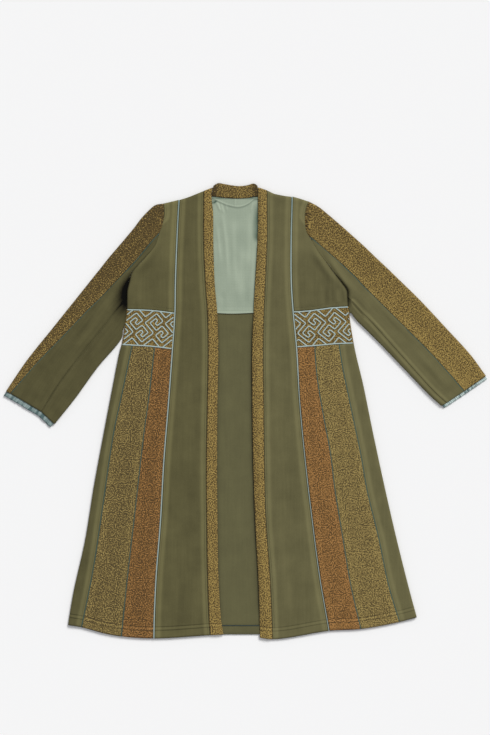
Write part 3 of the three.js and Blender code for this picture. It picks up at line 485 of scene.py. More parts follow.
back = cloth("back_panel_fleece", 70, 130, FLEECE, OLIVE["back"], back_shape)
lay(back, ["back_panel"])

# ---------------------------------------------------------------------------
# Hem of the back: the fleece turned up to the inside by 22 mm, its raw edge overlocked with
# slate-blue thread, and stitched through near the fold. It shows between the two fronts.
TURN_UP = 22.0
TURNED_Z = BACK_TOP + 1.9         # upper face of the cloth that is turned up
OVERLOCK = {"width": 2.2, "height": 1.0, "sides": 6}


def thread_material(name, deep, pale, twist=1.1, dark_end=0.0):
    """Spun polyester thread: soft low gloss, the light broken up by its twist. It may be darker
    over its first 150 mm."""
    made, tree = bare_material(name)
    cut = add(tree, "ShaderNodeUVMap", uv_map="cut").outputs["UV"]
    apart = add(tree, "ShaderNodeSeparateXYZ", {"Vector": cut}).outputs
    turns = calc(tree, "MULTIPLY_ADD", apart["Y"], 1 / (twist * MM), apart["X"])
    ply = calc(tree, "MULTIPLY", calc(tree, "PINGPONG", turns, 0.5), 2.0)
    end = stops(tree, apart["Y"], 200, ((0, 0.0), (200, 0.5), (60, 0.15), (140, 0.45)))
    patches = specks(tree, cut, 14, Roughness=0.55)
    shade = weighted(tree, 0.5, (ply, 0.6), (patches, 0.5), (end, 2 * dark_end))
    surface(tree, {
        "Base Color": tinted(tree, shade, deep, pale), "Roughness": 0.6, "Specular IOR Level": 0.3,
        "Normal": raised(tree, ply, 0.5, 0.3),
    })
    return made


def lengths_of(path):
    return np.concatenate(([0], np.cumsum(np.linalg.norm(np.diff(path, axis=0), axis=1))))


def strand(bm, path, width, height, sides):
    """A closed tube along a path of x, y, z in mm, its section an ellipse. The width is one
    figure or one for each point."""
    width = np.broadcast_to(width, len(path))
    ahead = np.gradient(path[:, :2], axis=0)
    ahead /= np.maximum(1e-9, np.linalg.norm(ahead, axis=1))[:, None]
    length = lengths_of(path)
    rows = len(path) - 1
    made = bmesh.ops.create_grid(bm, x_segments=sides, y_segments=rows, size=0.5)["verts"]
    cut_layer = bm.loops.layers.uv.verify()
    at = {}
    for vert in made:
        k = round((0.5 - vert.co.y) * rows)
        around = vert.co.x + 0.5
        at[vert] = (around, length[k] * MM)
        turn = 2 * math.pi * around
        out = math.cos(turn) * width[k] / 2
        side = (path[k, 0] - ahead[k, 1] * out, path[k, 1] + ahead[k, 0] * out)
        vert.co = placed((*side, path[k, 2] + math.sin(turn) * height / 2))
    faces = {face for vert in made for face in vert.link_faces}
    for face in faces:
        face.smooth = True
        for loop in face.loops:
            loop[cut_layer].uv = at[loop.vert]
    bmesh.ops.remove_doubles(bm, verts=made, dist=1e-7)
    rims = [e for e in {e for f in faces if f.is_valid for e in f.edges} if e.is_boundary]
    bmesh.ops.holes_fill(bm, edges=rims, sides=0)


def strands(name, material, paths, width, height, sides=8):
    bm = bmesh.new()
    for path in paths:
        strand(bm, path, width, height, sides)
    bmesh.ops.recalc_face_normals(bm, faces=bm.faces)
    piece = solid_piece(name, bm, material)
    piece.data.uv_layers[0].name = "cut"
    return piece


def stitched(name, material, paths, pitch=3.2, share=0.72, thick=0.55, sink=0.12):
    """Rows of single stitches lying in the cloth along paths of x, y, z in mm."""
    bm = bmesh.new()
    for path in paths:
        length = lengths_of(path)
        for start in np.arange(pitch / 2, length[-1] - pitch, pitch):
            span = (start, start + pitch * share)
            ends = [[np.interp(d, length, path[:, k]) for k in range(3)] for d in span]
            a, b = (Vector(v) for v in placed(ends))
            turn = (b - a).to_track_quat("Z", "Y").to_matrix().to_4x4()
            middle = Matrix.Translation((a + b) / 2 - Vector((0, 0, sink * MM)))
            bmesh.ops.create_cone(
                bm, cap_ends=True, segments=6, radius1=thick * MM / 2, radius2=thick * MM / 2,
                depth=(b - a).length, matrix=middle @ turn,
            )
    bmesh.ops.recalc_face_normals(bm, faces=bm.faces)
    cut_layer = bm.loops.layers.uv.new("cut")
    for face in bm.faces:
        for loop in face.loops:
            loop[cut_layer].uv = (loop.vert.co.x, loop.vert.co.y)
    return solid_piece(name, bm, material)


def turn_up_shape(u, v):
    x = mix(-96, 72, u)
    low = np.interp(x, BACK_HEM["x"], BACK_HEM["y"])
    up = TURN_UP * v
    z = TURNED_Z - 0.9 * ease(1.5, 0, up) - 0.5 * ridge(up - 3.5, 1.0)
    z = z + 0.15 * unevenness(x, up, 22, 4.0)
    return {"x": x, "y": low + up, "z": z, "across": x, "along": up, "tone": 0.25}


slate = thread_material("slate overlock thread", "#222b2a", "#3d4a46")
turned_up = cloth("back_hem_turned_up", 60, 12, 1.7, OLIVE["back"], turn_up_shape)
lay(turned_up, ["back_panel"])
run = np.linspace(-94, 70, 260)
raw_edge = np.interp(run, BACK_HEM["x"], BACK_HEM["y"]) + TURN_UP
loops = np.stack((run, raw_edge + 0.9 * np.sin(run * 2.4), TURNED_Z + 0.2 + 0.3 * np.cos(run * 2.4)), 1)
sewn_on(strands("back_hem_overlock", slate, [loops], **OVERLOCK))
row_line = np.stack((run, raw_edge - TURN_UP + 3.5, np.full_like(run, TURNED_Z - 0.35)), 1)
sewn_on(stitched("back_hem_stitches", slate, [row_line]))

# ---------------------------------------------------------------------------
# Yoke lining: sage woven cloth inside the back, from the shoulders to the waist. Its lower edge
# is hemmed and free; its neck edge is eased into the band, with a curved facing seam below it.
YOKE_LEFT = table("y x", (509, -192), (440, -198), (385, -220), (330, -262), (245.5, -268))
YOKE_RIGHT = table("y x", (512, 140), (440, 136), (395, 170), (330, 222), (245.5, 228))
YOKE_NECK = table(
    "x y", (-192, 509), (-110, 533), (-84, 537.4), (-55, 533.7), (-35, 532.3), (-15, 531.6),
    (4, 533), (31, 537.6), (60, 530), (140, 512),
)
YOKE_LOW_EDGE = YOKE_CORNER[1]
FACING = table("x y", (-84, 534), (-68.5, 526), (-42, 515.5), (-16, 511.5), (6, 519), (23, 532.5))
YOKE_TOP = 3.3
YOKE_RUMPLES = table(
    "ax ay bx by wide rise bow",
    (-60, 505, -44, 330, 5, 1.2, 3), (-30, 490, -22, 300, 6, 0.8, -3), (-72, 470, -62, 370, 4, 0.9, 0),
    (8, 500, 2, 340, 7, 0.9, 3), (22, 470, 14, 280, 5, 0.7, 0), (-8, 420, -14, 262, 8, 0.7, -2),
    (-72, 524, -62, 500, 3, 1.6, 0), (-62, 522, -54, 494, 3, 1.3, 0), (-50, 520, -46, 500, 3, 0.9, 0),
    (-26, 535, -27, 514, 1.8, 0.9, 0), (20, 525, 12, 500, 3, 1.0, 0),
    (-58, 300, -50, 250, 6, -0.7, 0), (0, 330, 4, 255, 6, -0.5, 0),
)


def lining_material():
    """Plain-woven lining: fine crossing threads, a slight silky gloss, a little uneven in tone."""
    made, tree = bare_material("sage woven lining")
    cut, tone = layers(tree)
    weave = calc(tree, "MULTIPLY", *(stripes(tree, cut, way, 1.1, 0.6) for way in ("X", "Y")))
    clouds, slubs = (specks(tree, cut, size, Roughness=0.55) for size in (50, 3))
    shade = weighted(tree, tone, (weave, 0.06), (clouds, 0.5), (slubs, 0.3))
    surface(tree, {
        "Base Color": tinted(tree, shade, "#7a8876", "#a5b19c"), "Roughness": 0.62,
        "Specular IOR Level": 0.35, "Normal": raised(tree, weave, 0.15, 0.15), "Sheen Weight": 0.1,
    })
    return made


def lining_shape(u, v):
    x, y = between(
        np.interp(u, [0, 0.1, 0.9, 1], [0, 0.34, 0.64, 1]), crowded(v, 0.55),
        curve(YOKE_LEFT, "y", "x"), curve(YOKE_RIGHT, "y", "x"),
        lambda x: np.interp(x, YOKE_NECK["x"], YOKE_NECK["y"]),
        lambda x: YOKE_LOW_EDGE + 1.2 * np.sin(x / 21),
    )
    facing = y - curve(FACING, "x", "y")(np.clip(x, -84, 23))
    up = y - YOKE_LOW_EDGE
    shown = ease(-110, -80, x) * (1 - ease(40, 70, x))
    folds = creases(x, y, YOKE_RUMPLES) + 0.35 * unevenness(x, y, 34, 2.0)
    step = 1.0 * ease(-1.5, 1.5, facing) + 0.9 * ridge(facing - 0.5, 2.2)
    hem = 1.3 * ease(16, 2, up) - 0.5 * ridge(up - 6, 1.0) + 0.3 * ridge(up - 1.5, 1.5)
    z = YOKE_TOP + shown * (folds * ease(4, 40, up) + step + hem)
    near_band = LINES["right", "inner"](y) - x
    # painted highlight on the ridge of the facing seam and on the rolled lower hem, painted shade below that
    # ridge
    tone = 0.62 - 0.35 * ridge(facing + 2.2, 1.8) + 0.35 * ridge(facing - 1, 1.6) + 0.35 * ease(5, 1, up)
    # painted shadow cast by the right neckband onto the lining, and under the back neckband
    tone = tone - 0.9 * ridge(near_band, 7) * ease(400, 440, y) * ease(525, 505, y)
    tone = tone - 0.5 * ridge(near_band, 3) - 1.1 * ridge(y - 534, 3.0)
    # painted shade in the deep fold where the lining turns the left corner of the neck, and painted
    # light and shade on its rumples
    tone = tone - 1.6 * ridge(x + 76.5, 4.5) * ridge(y - 0.5 * (x + 76) - 524, 3) + 0.2 * folds
    return {"x": x, "y": y, "z": z, "across": x, "along": y, "tone": tone}


sage = lining_material()
lining = cloth("yoke_lining_cloth", 90, 110, 0.6, sage, lining_shape)
lay(lining, ["back_lining"])

# ---------------------------------------------------------------------------
# Neckband across the back of the neck: doubled tweed jersey, fallen open above the shoulders,
# with its highest points just inside the two front bands.
BAND_TOP = table(
    "x y", (-80.5, 564), (-74, 568.5), (-66, 571), (-55, 569), (-35, 565.5), (-15, 563.5),
    (4, 565.5), (15, 569), (22.5, 569.5), (30, 564.5),
)
BAND_LOW = table(
    "x y", (-84.5, 538.6), (-76, 537.2), (-67, 536), (-55, 534.7), (-35, 533.3), (-15, 532.6),
    (4, 534), (15.5, 536), (23.5, 537.4), (31, 538.6),
)
NECK_RISE = table("down z", (0, 6.9), (0.12, 7.8), (0.3, 8.2), (0.55, 7.3), (0.8, 5.8), (1, 4.8))


def tweed(name, dark, brown, base, light, size=2.7):
    """Jersey knit from flecked yarn: matt, its colour broken into small dark and light flecks,
    over fine ribs that run down the piece and hardly show."""
    made, tree = bare_material(name)
    cut, tone = layers(tree)
    seam, hem = sewing_relief(tree)
    fleck = specks(tree, cut, size, Detail=1.0, Distortion=0.3)
    clouds = specks(tree, cut, 26, Roughness=0.55)
    ribs = stripes(tree, cut, "X", 1.7, 1.5)
    # the tone brings the painted light and shade of each piece into the flecks
    level = weighted(tree, fleck, (clouds, 0.1), (tone, 0.2), (seam, 0.06), (hem, 0.3))
    ramp = add(tree, "ShaderNodeValToRGB", {"Fac": level})
    marks = ramp.color_ramp.elements
    for k, (place, code) in enumerate(((0.40, dark), (0.62, light), (0.45, brown), (0.52, base))):
        mark = marks[k] if k < 2 else marks.new(place)
        mark.position = place
        mark.color = linear(code)
    sewn = raised(tree, calc(tree, "ADD", seam, hem), 0.8, 1.0)
    knit = raised(tree, weighted(tree, ribs, (fleck, 1.2)), 0.5, 0.5, Normal=sewn)
    surface(tree, {
        "Base Color": ramp.outputs["Color"], "Roughness": 0.9, "Specular IOR Level": 0.2,
        "Normal": knit, "Sheen Weight": 0.08, "Sheen Roughness": 0.5,
    })
    return made


def neck_shape(u, v):
    t = u * (len(BAND_TOP["x"]) - 1)
    count = np.arange(len(BAND_TOP["x"]), dtype=float)
    top_x, top_y, low_x, low_y = (
        curve({"t": count, **rows}, "t", k)(t) for rows in (BAND_TOP, BAND_LOW) for k in ("x", "y")
    )
    x, y = mix(top_x, low_x, v), mix(top_y, low_y, v)
    z = curve(NECK_RISE, "down", "z")(v) + 0.25 * unevenness(x, y, 18, 5.0)
    # painted shade at both ends, where the band meets the front bands
    dim = 0.9 * (ease(0.25, 0, u) + ease(0.75, 1, u))
    return {
        "x": x, "y": y, "z": z, "across": y, "along": x, "seam": (1 - v) * (top_y - low_y),
        "tone": 0.2 - dim,
    }


ochre = tweed("ochre flecked tweed jersey", "#473a20", "#6d5931", "#8c7540", "#a78f50")
neck = cloth("neckband_back_tweed", 60, 20, 2.4, ochre, neck_shape)
lay(neck, ["neckband_back"])

# ---------------------------------------------------------------------------
# Front panels: olive fleece from the shoulder fold to the hem, between the piping and the band.
# The seam allowances show through on both sides of each seam as flat raised strips, painted
# paler, with painted shade in the groove of the seam itself.
TOP_Z = 6.2                       # upper face of the front pieces beside a plain seam
BAND_Z = 6.8                      # and at the edges of the neckbands and waistbands
TIGHT = 0.1                       # each piece stops this far short of its seam line
PIPE = 1.6                        # and this far short of the middle of the piping
SHOULDER = {
    "left": table("x y", (-205, 520), (-156, 532.5), (-103, 553), (-81, 561.5)),
    "right": table("x y", (29, 562), (53.5, 554), (76, 544), (119, 537), (158.5, 525)),
}
HEM = {
    "left": table(
        "x y", (-444, -534), (-409.5, -540), (-354, -555), (-311.5, -562.5), (-229, -567.5),
        (-88, -559.5), (-56, -558),
    ),
    "right": table(
        "x y", (35, -566), (67, -569.5), (210, -548.5), (288.5, -544), (385, -526.5), (429, -514.5),
    ),
}
FRONT_RUMPLES = {
    "left": table(
        "ax ay bx by wide rise", (-128, 500, -136, 330, 12, 0.5), (-150, 120, -140, -160, 16, 0.6),
        (-120, -60, -150, -330, 14, -0.6), (-190, -250, -180, -480, 14, 0.6),
        (-110, -380, -130, -560, 12, 0.8), (-160, -430, -165, -565, 10, -0.6),
    ),
    "right": table(
        "ax ay bx by wide rise", (84, 500, 80, 300, 12, 0.5), (70, 160, 84, -120, 14, 0.6),
        (110, -40, 120, -300, 15, -0.6), (80, -240, 110, -500, 14, 0.7),
        (170, -380, 176, -550, 10, 0.7), (120, -420, 130, -565, 11, -0.7),
    ),
}
FOLD = table("d z", (0.9, 2.6), (0, 4.6), (1.2, 6.6), (4.2, 7.8), (9, 8.1), (18, 7.5))


def section(rows):
    """A fold's section by length along the cloth: its whole length, its reach, and curves of the
    distance in from the silhouette and of the height."""
    steps = np.hypot(np.diff(rows["d"]), np.diff(rows["z"]))
    rows = {"t": np.concatenate(([0], np.cumsum(steps))), **rows}
    return rows["t"][-1], rows["d"][-1], curve(rows, "t", "d"), curve(rows, "t", "z")


def rolled(u, width, plain, fold, roll):
    """Across a piece whose far edge rolls over: distance in from that edge, height, and length
    along the cloth to the near seam."""
    length, reach, depth, height = fold
    squeeze = np.minimum(1, 0.75 * width / reach)
    inner = reach * squeeze
    flat = width - inner
    share = np.clip(1.3 * length / (length + flat), 0.22, 0.6)
    t = np.where(u < share, length * u / share, length + flat * (u - share) / (1 - share))
    turned = np.minimum(t, length)
    d = mix(reach * turned / length, depth(turned), roll) * squeeze + np.maximum(0, t - length)
    rest = np.clip((width - d) / np.maximum(1, flat), 0, 1)
    lift = (height(length) - plain(inner)) * np.exp(-np.maximum(0, d - inner) / 16) * ease(0, 1, rest)
    z = np.where(t < length, mix(plain(d), height(turned), roll), plain(d) + roll * lift)
    return d, z, length + flat - t


def panel(u, v, s, far, near, top, bottom, base=TOP_Z, crown=0.0, fold=None, roll=None, shoulder=False):
    """A piece of the body between two long seams, `near` the coat's middle and `far` from it, and
    two end lines. It may roll over a fold at its far edge and another at the shoulder."""
    lead, lead_reach, lead_depth, lead_height = SOFT_FOLD
    x = (far(0.0) + near(0.0)) / 2 + 0 * u
    for _ in range(9):
        height = top(x) - bottom(x) - TIGHT
        if shoulder:
            t = v * (lead + height - lead_reach)
            down = np.where(t < lead, lead_depth(np.minimum(t, lead)), lead_reach + t - lead)
            over = lead_reach - lead + t
        else:
            down = TIGHT + v * (height - TIGHT)
            over = down
        y = top(x) - down
        width = np.abs(near(y) - far(y))

        def plain(d):
            if crown:
                return base + crown * np.sin(np.pi * np.clip(d / width, 0, 1))
            return base + 0.5 * (1 - np.exp(-np.maximum(0, width - d) / 6))

        if fold:
            d, z, across = rolled(u, width, plain, fold, roll(y))
        else:
            d = u * width
            z, across = plain(d), width - d
        x = far(y) - s * d
    if shoulder:
        eased = lead_height(np.minimum(t, lead)) + np.minimum(0, z - base - 0.4)
        z = mix(eased, z, ease(6, 40, down))
    z = z - 0.7 * ease(2.5, 0, y - bottom(x))
    return {
        "x": x, "y": y, "z": z, "across": near(y) + s * across, "along": top(x) - over,
        "seam": np.minimum(d, width - d), "hem": y - bottom(x), "far": d, "near": width - d,
    }


SOFT_FOLD = section(FOLD)
for name, s in HALVES:
    LINES[name, "shoulder"] = curve(SHOULDER[name], "x", "y")
    LINES[name, "hem"] = curve(HEM[name], "x", "y")


def front_shape(name, s):
    def shape(u, v):
        spot = panel(
            crowded(u, 0.5), crowded(v, 0.3), s, moved(LINES[name, "piping"], -s * PIPE),
            moved(LINES[name, "outer"], s * TIGHT), LINES[name, "shoulder"], LINES[name, "hem"],
            shoulder=True,
        )
        inner = ease(0, 26, spot["seam"])
        folds = inner * creases(spot["x"], spot["y"], FRONT_RUMPLES[name])
        spot["z"] = spot["z"] + 1.5 * folds
        # painted light on the ridges of the rumples and painted shade in their troughs
        spot["tone"] = 0.3 + 0.18 * folds
        spot["z"] = spot["z"] + inner * 0.4 * unevenness(spot["x"], spot["y"], 70, 6.0 + s)
        return spot
    return shape


for name, s in HALVES:
    front = cloth(f"front_panel_{name}_fleece", 48, 150, FLEECE, OLIVE[name], front_shape(name, s))
    lay(front, [f"front_panel_{name}"])

# ---------------------------------------------------------------------------
# Front neckbands: doubled ochre tweed jersey down both front edges to the hem, softly rounded,
# their inner edge a free fold that stands off the lining.
BAND_TONE = {"left": 0.38, "right": 0.4}


def band_shape(name, s):
    def shape(u, v):
        spot = panel(
            u, crowded(v, 0.2), s, moved(LINES[name, "outer"], -s * TIGHT), LINES[name, "inner"],
            LINES[name, "shoulder"], LINES[name, "hem"], base=BAND_Z, crown=1.4, shoulder=True,
        )
        spot["z"] = spot["z"] - 1.1 * ease(2.2, 0, spot["near"]) - 0.5 * ease(1.5, 0, spot["far"])
        spot["z"] = spot["z"] + 0.25 * unevenness(spot["x"], spot["y"], 30, 8.0 + s)
        spot["seam"] = spot["far"]
        spot["tone"] = BAND_TONE[name]
        return spot
    return shape


for name, s in HALVES:
    band = cloth(f"neckband_{name}_tweed", 16, 220, 2.4, ochre, band_shape(name, s))
    lay(band, [f"neckband_{name}"])

# ---------------------------------------------------------------------------
# Side fronts: olive fleece from the shoulder to the waistband, between the armhole and the
# piping. Their far edge runs on into the sleeve and rolls under below the armpit.
WAIST = {
    "left": table("x y", (-297.5, 256), (-237, 254), (-176.5, 247)),
    "right": table("x y", (119, 250), (165, 253.5), (212, 260), (258, 263)),
}
ARMPIT = {"left": (405, 350), "right": (405, 340)}   # where the far edge starts to roll, and rolls fully
SIDE_TONE = {"left": 0.32, "right": 0.18}
SIDE_RUMPLES = {
    "left": table(
        "ax ay bx by wide rise bow", (-222, 428, -276, 352, 8, 1.6, 4), (-214, 418, -262, 340, 9, -1.0, 0),
        (-262, 335, -268, 268, 10, 0.8, 0), (-205, 340, -212, 262, 14, 0.5, 0),
        (-232, 330, -238, 260, 12, -0.4, 0), (-196, 500, -199, 440, 7, 0.6, 0),
    ),
    "right": table(
        "ax ay bx by wide rise bow", (168, 412, 236, 312, 8, 1.6, -5), (160, 398, 214, 318, 9, -1.0, 0),
        (188, 320, 190, 262, 6, 1.0, 0), (202, 312, 204, 264, 5, -0.9, 0), (228, 306, 232, 266, 6, 1.0, 0),
        (216, 312, 220, 268, 5, -0.8, 0), (160, 330, 160, 262, 10, 0.5, 0), (242, 300, 246, 270, 4, -0.6, 0),
    ),
}


def side_front_shape(name, s):
    start, full = ARMPIT[name]

    def shape(u, v):
        spot = panel(
            crowded(u, 0.2), crowded(v, 0.3), s, EDGE[name], moved(LINES[name, "piping"], s * PIPE),
            LINES[name, "shoulder"], LINES[name, "waist"], fold=SOFT_FOLD,
            roll=lambda y: ease(start, full, y), shoulder=True,
        )
        gentle = ease(0, 20, spot["near"]) * ease(0, 14, spot["hem"])
        folds = gentle * creases(spot["x"], spot["y"], SIDE_RUMPLES[name])
        spot["z"] = spot["z"] + 1.4 * folds
        # painted light and shade on the rumples, painted light over the upper part near the armhole, and
        # painted shade along the far edge where it rolls under below the armpit
        spot["tone"] = SIDE_TONE[name] + 0.2 * folds
        spot["tone"] = spot["tone"] + 0.3 * ease(350, 420, spot["y"])
        spot["tone"] = spot["tone"] - 1.3 * ridge(spot["far"], 2.5) * ease(380, 345, spot["y"])
        spot["z"] = spot["z"] + gentle * 0.4 * unevenness(spot["x"], spot["y"], 50, 11.0 + s)
        spot["z"] = spot["z"] - 0.4 * ridge(spot["hem"] - 9, 1.2)
        armhole = spot["far"] + 30 * ease(490, 440, spot["y"])
        spot["seam"] = np.minimum(spot["near"], armhole)
        spot["hem"] = FAR_OFF
        return spot
    return shape


for name, s in HALVES:
    LINES[name, "waist"] = curve(WAIST[name], "x", "y")
    side_front = cloth(f"side_front_{name}_fleece", 40, 90, FLEECE, OLIVE[name], side_front_shape(name, s))
    lay(side_front, [f"side_front_{name}"])

# ---------------------------------------------------------------------------
# Waistbands: a strip of ochre tweed jersey set in below each side front, seamed at waist and
# hip. It lies level up to the side fold, where it turns under, and carries the embroidery.
HIP = {
    "left": table("x y", (-308.5, 165.5), (-237, 161.5), (-182, 155)),
    "right": table("x y", (127.5, 160), (172, 163), (222, 167.5), (271, 169.5)),
}
LEVEL_FOLD = section(table("d z", (0.9, 2.6), (0, 4.2), (1.2, 5.9), (3.2, BAND_Z)))


def waistband_shape(name, s):
    def shape(u, v):
        spot = panel(
            u, v, s, EDGE[name], moved(LINES[name, "piping"], s * PIPE), LINES[name, "waist"],
            LINES[name, "hip"], base=BAND_Z, fold=LEVEL_FOLD, roll=np.ones_like,
        )
        spot["z"] = spot["z"] - 0.5 + 0.15 * unevenness(spot["x"], spot["y"], 20, 14.0 + s)
        spot.update(seam=FAR_OFF, hem=FAR_OFF, tone=0.3)
        return spot
    return shape


for name, s in HALVES:
    LINES[name, "hip"] = curve(HIP[name], "x", "y")
    girdle = cloth(f"waistband_{name}_tweed", 44, 30, FLEECE, ochre, waistband_shape(name, s))
    lay(girdle, [f"waistband_{name}"])

# ---------------------------------------------------------------------------
# Embroidery of the waistbands: a pale aqua cord couched down in a running fret, with V shapes
# filling in from the upper and lower borders. The corners are soft, as laid by hand.
FRET = table(
    "down up", (0, 0), (0, 4), (3, 4), (3, 2), (2, 2), (2, 3), (1, 3), (1, 1), (4, 1), (4, 3),
    (7, 3), (7, 1), (6, 1), (6, 2), (5, 2), (5, 0), (8, 0), (8, 4),
)
FRET_STEP = 4                     # lines from one repeat to the next, both ways
TEETH = table("down up way", (-1.3, 1.1, 1), (5.2, -1.2, -1))
TOOTH_LEG = 5
# steps and slopes of the chart's two sets of lines, which run down and up towards the piping
DOWN_LINE = (8.2, math.radians(-50))
UP_LINE = (9.3, math.radians(38))
FRET_FROM = {"left": (-251.5, 221.5), "right": (201, 222.5)}
COUCHED = {"width": 3.1, "height": 2.2}
CORD_Z = BAND_Z + 0.6             # height of the middle of the couched cord
CORNER_TURNS = 16                 # how often a corner of the cord is rounded off
BORDER = {"seam": 1.7, "fold": 2.6, "pipe": 0.8}   # how far the cord keeps from each edge


def fret_spot(name, s, down, up):
    """A crossing of the chart's lines, in the drawing."""
    x = down * DOWN_LINE[0] * math.cos(DOWN_LINE[1]) + up * UP_LINE[0] * math.cos(UP_LINE[1])
    y = down * DOWN_LINE[0] * math.sin(DOWN_LINE[1]) + up * UP_LINE[0] * math.sin(UP_LINE[1])
    return np.array([FRET_FROM[name][0] - s * x, FRET_FROM[name][1] + y])


def fret_strokes(name, s):
    """One long stroke that winds through all repeats, and a V in each gap along the borders."""
    long_stroke = []
    strokes = []
    for k in range(-2, 3):
        move = FRET_STEP * k
        long_stroke += [fret_spot(name, s, d + move, c + move) for d, c in zip(FRET["down"], FRET["up"])]
        for d, c, way in zip(TEETH["down"], TEETH["up"], TEETH["way"]):
            d, c = d + move, c + move
            legs = ((d - way * TOOTH_LEG, c), (d, c), (d, c + way * TOOTH_LEG))
            strokes.append([fret_spot(name, s, *leg) for leg in legs])
    return [long_stroke, *strokes]


def fine(stroke, step=0.8):
    """The stroke divided into short steps."""
    points = []
    for a, b in zip(stroke, stroke[1:]):
        parts = max(1, round(float(np.linalg.norm(b - a)) / step))
        points += [mix(a, b, k / parts) for k in range(parts)]
    return np.array(points + [stroke[-1]])


def softened(points):
    """Rounds off the corners of a finely divided stroke."""
    for _ in range(CORNER_TURNS):
        points[1:-1] = (points[:-2] + 2 * points[1:-1] + points[2:]) / 4
    return points


def kept(points, inside):
    """The stretches of a stroke that lie inside."""
    marks = np.concatenate(([False], inside(points), [False]))
    starts = np.flatnonzero(marks[1:] & ~marks[:-1])
    ends = np.flatnonzero(~marks[1:] & marks[:-1])
    return [points[a:b] for a, b in zip(starts, ends) if b - a > 4]


def cord_paths(name, s):
    far = moved(EDGE[name], -s * BORDER["fold"])
    near = moved(LINES[name, "piping"], s * (PIPE + BORDER["pipe"]))
    top = moved(LINES[name, "waist"], -BORDER["seam"])
    low = moved(LINES[name, "hip"], BORDER["seam"])

    def inside(p):
        level = (p[:, 1] <= top(p[:, 0])) & (p[:, 1] >= low(p[:, 0]))
        return level & (s * p[:, 0] <= s * far(p[:, 1])) & (s * p[:, 0] >= s * near(p[:, 1]))

    runs = [run for stroke in fret_strokes(name, s) for run in kept(softened(fine(stroke)), inside)]
    for border in (top, low):
        x = np.linspace(far(border(far(210.0))), near(border(near(210.0))), 120)
        runs.append(np.stack((x, border(x)), 1))
    paths = []
    for run in runs:
        sway = unevenness(run[:, 0], run[:, 1], 9, 3.0)
        along = np.stack((run[:, 0] + 0.5 * sway, run[:, 1] - 0.5 * sway), 1)
        paths.append(np.column_stack((along, CORD_Z + 0.15 * sway)))
    return paths


aqua_cord = thread_material("aqua couched cord", "#8fa4a1", "#bccbc7", 2.2)
for name, s in HALVES:
    cords = strands(f"waist_embroidery_{name}", aqua_cord, cord_paths(name, s), **COUCHED)
    sewn_on(cords, [f"waistband_{name}"])

# ---------------------------------------------------------------------------
# Gores below each waistband: rust tweed and mustard tweed jersey, then olive fleece that rolls
# over the side fold of the coat.
GORES = {
    "left": table(
        "y rust mustard", (170, -226, -282), (26, -242.5, -312.5), (-46, -252.5, -328),
        (-264, -277.5, -360.5), (-397, -293, -381), (-570, -311, -416),
    ),
    "right": table(
        "y rust mustard", (170, 172.5, 233), (107, 176.5, 243), (59, 182.5, 253), (-13, 195, 268),
        (-108, 212.5, 288), (-194, 223, 303), (-316, 243, 332.5), (-435, 263, 357.5),
        (-543, 288, 390),
    ),
}
# the left gores have a lower tone: painted shade on the side away from the lamp
GORE_TONE = {"left": 0.2, "right": 0.4}
GORE_RUMPLES = {
    "left": table(
        "ax ay bx by wide rise", (-225, 60, -240, -220, 12, 0.7), (-270, -60, -300, -340, 14, 0.8),
        (-320, -120, -350, -420, 12, -0.7), (-380, -250, -410, -500, 12, 0.7),
        (-260, -350, -275, -560, 12, -0.7), (-340, -380, -360, -555, 12, 0.9),
    ),
    "right": table(
        "ax ay bx by wide rise", (160, 60, 185, -200, 12, 0.7), (225, -40, 262, -300, 13, 0.8),
        (270, -180, 300, -420, 12, -0.7), (330, -240, 362, -470, 12, 0.8),
        (230, -360, 250, -545, 11, -0.7), (310, -400, 340, -535, 11, 0.9),
        (292, 3, 312, -2, 3.5, 1.1), (294, -8, 314, -13, 3.5, -1.0),
    ),
}


def gore_shape(name, s, far, near, fold=None):
    def shape(u, v):
        spot = panel(
            crowded(u, 0.3), crowded(v, 0.3), s, far, near, LINES[name, "hip"], LINES[name, "hem"],
            fold=fold, roll=np.ones_like,
        )
        gentle = ease(0, 14, spot["near"]) * ease(0, 14, spot["far"])
        spot["z"] = spot["z"] + gentle * creases(spot["x"], spot["y"], GORE_RUMPLES[name])
        spot["z"] = spot["z"] + gentle * 0.4 * unevenness(spot["x"], spot["y"], 55, 20.0 + s)
        if fold:
            spot["seam"] = spot["near"]
        spot["tone"] = GORE_TONE[name]
        return spot
    return shape


rust = tweed("rust flecked tweed jersey", "#4a3820", "#70502a", "#8e6736", "#a97d49")
mustard = tweed("mustard flecked tweed jersey", "#463b24", "#6c5c36", "#887544", "#a28e55")
for name, s in HALVES:
    piping_line = LINES[name, "piping"]
    rust_line, mustard_line = (curve(GORES[name], "y", line) for line in ("rust", "mustard"))
    LINES[name, "rust"], LINES[name, "mustard"] = rust_line, mustard_line
    gore = cloth(f"rust_gore_{name}_tweed", 26, 90, FLEECE, rust, gore_shape(
        name, s, moved(rust_line, -s * TIGHT), moved(piping_line, s * PIPE)))
    lay(gore, [f"rust_gore_{name}"])
    gore = cloth(f"mustard_gore_{name}_tweed", 30, 90, FLEECE, mustard, gore_shape(
        name, s, moved(mustard_line, -s * TIGHT), moved(rust_line, s * TIGHT)))
    lay(gore, [f"mustard_gore_{name}"])
    gore = cloth(f"side_gore_{name}_fleece", 28, 90, FLEECE, OLIVE[name], gore_shape(
        name, s, EDGE[name], moved(mustard_line, s * TIGHT), SOFT_FOLD))
    lay(gore, [f"side_gore_{name}"])

# ---------------------------------------------------------------------------
# Seam bindings and piping: narrow dark teal binding sewn over the seams of the gores, and pale
# blue cord set into the princess seams, from the shoulder fold to the hem.
BINDING = {"width": 3.2, "height": 1.1, "sides": 6}
PIPING_WIDTH = 3.4
PIPING_HEIGHT = 2.6
binding = thread_material("dark teal seam binding", "#33483f", "#4c6257", 3.0)
piping_cloth = thread_material("pale blue piping cord", "#80938f", "#b4c3bd", 2.6, 0.5)
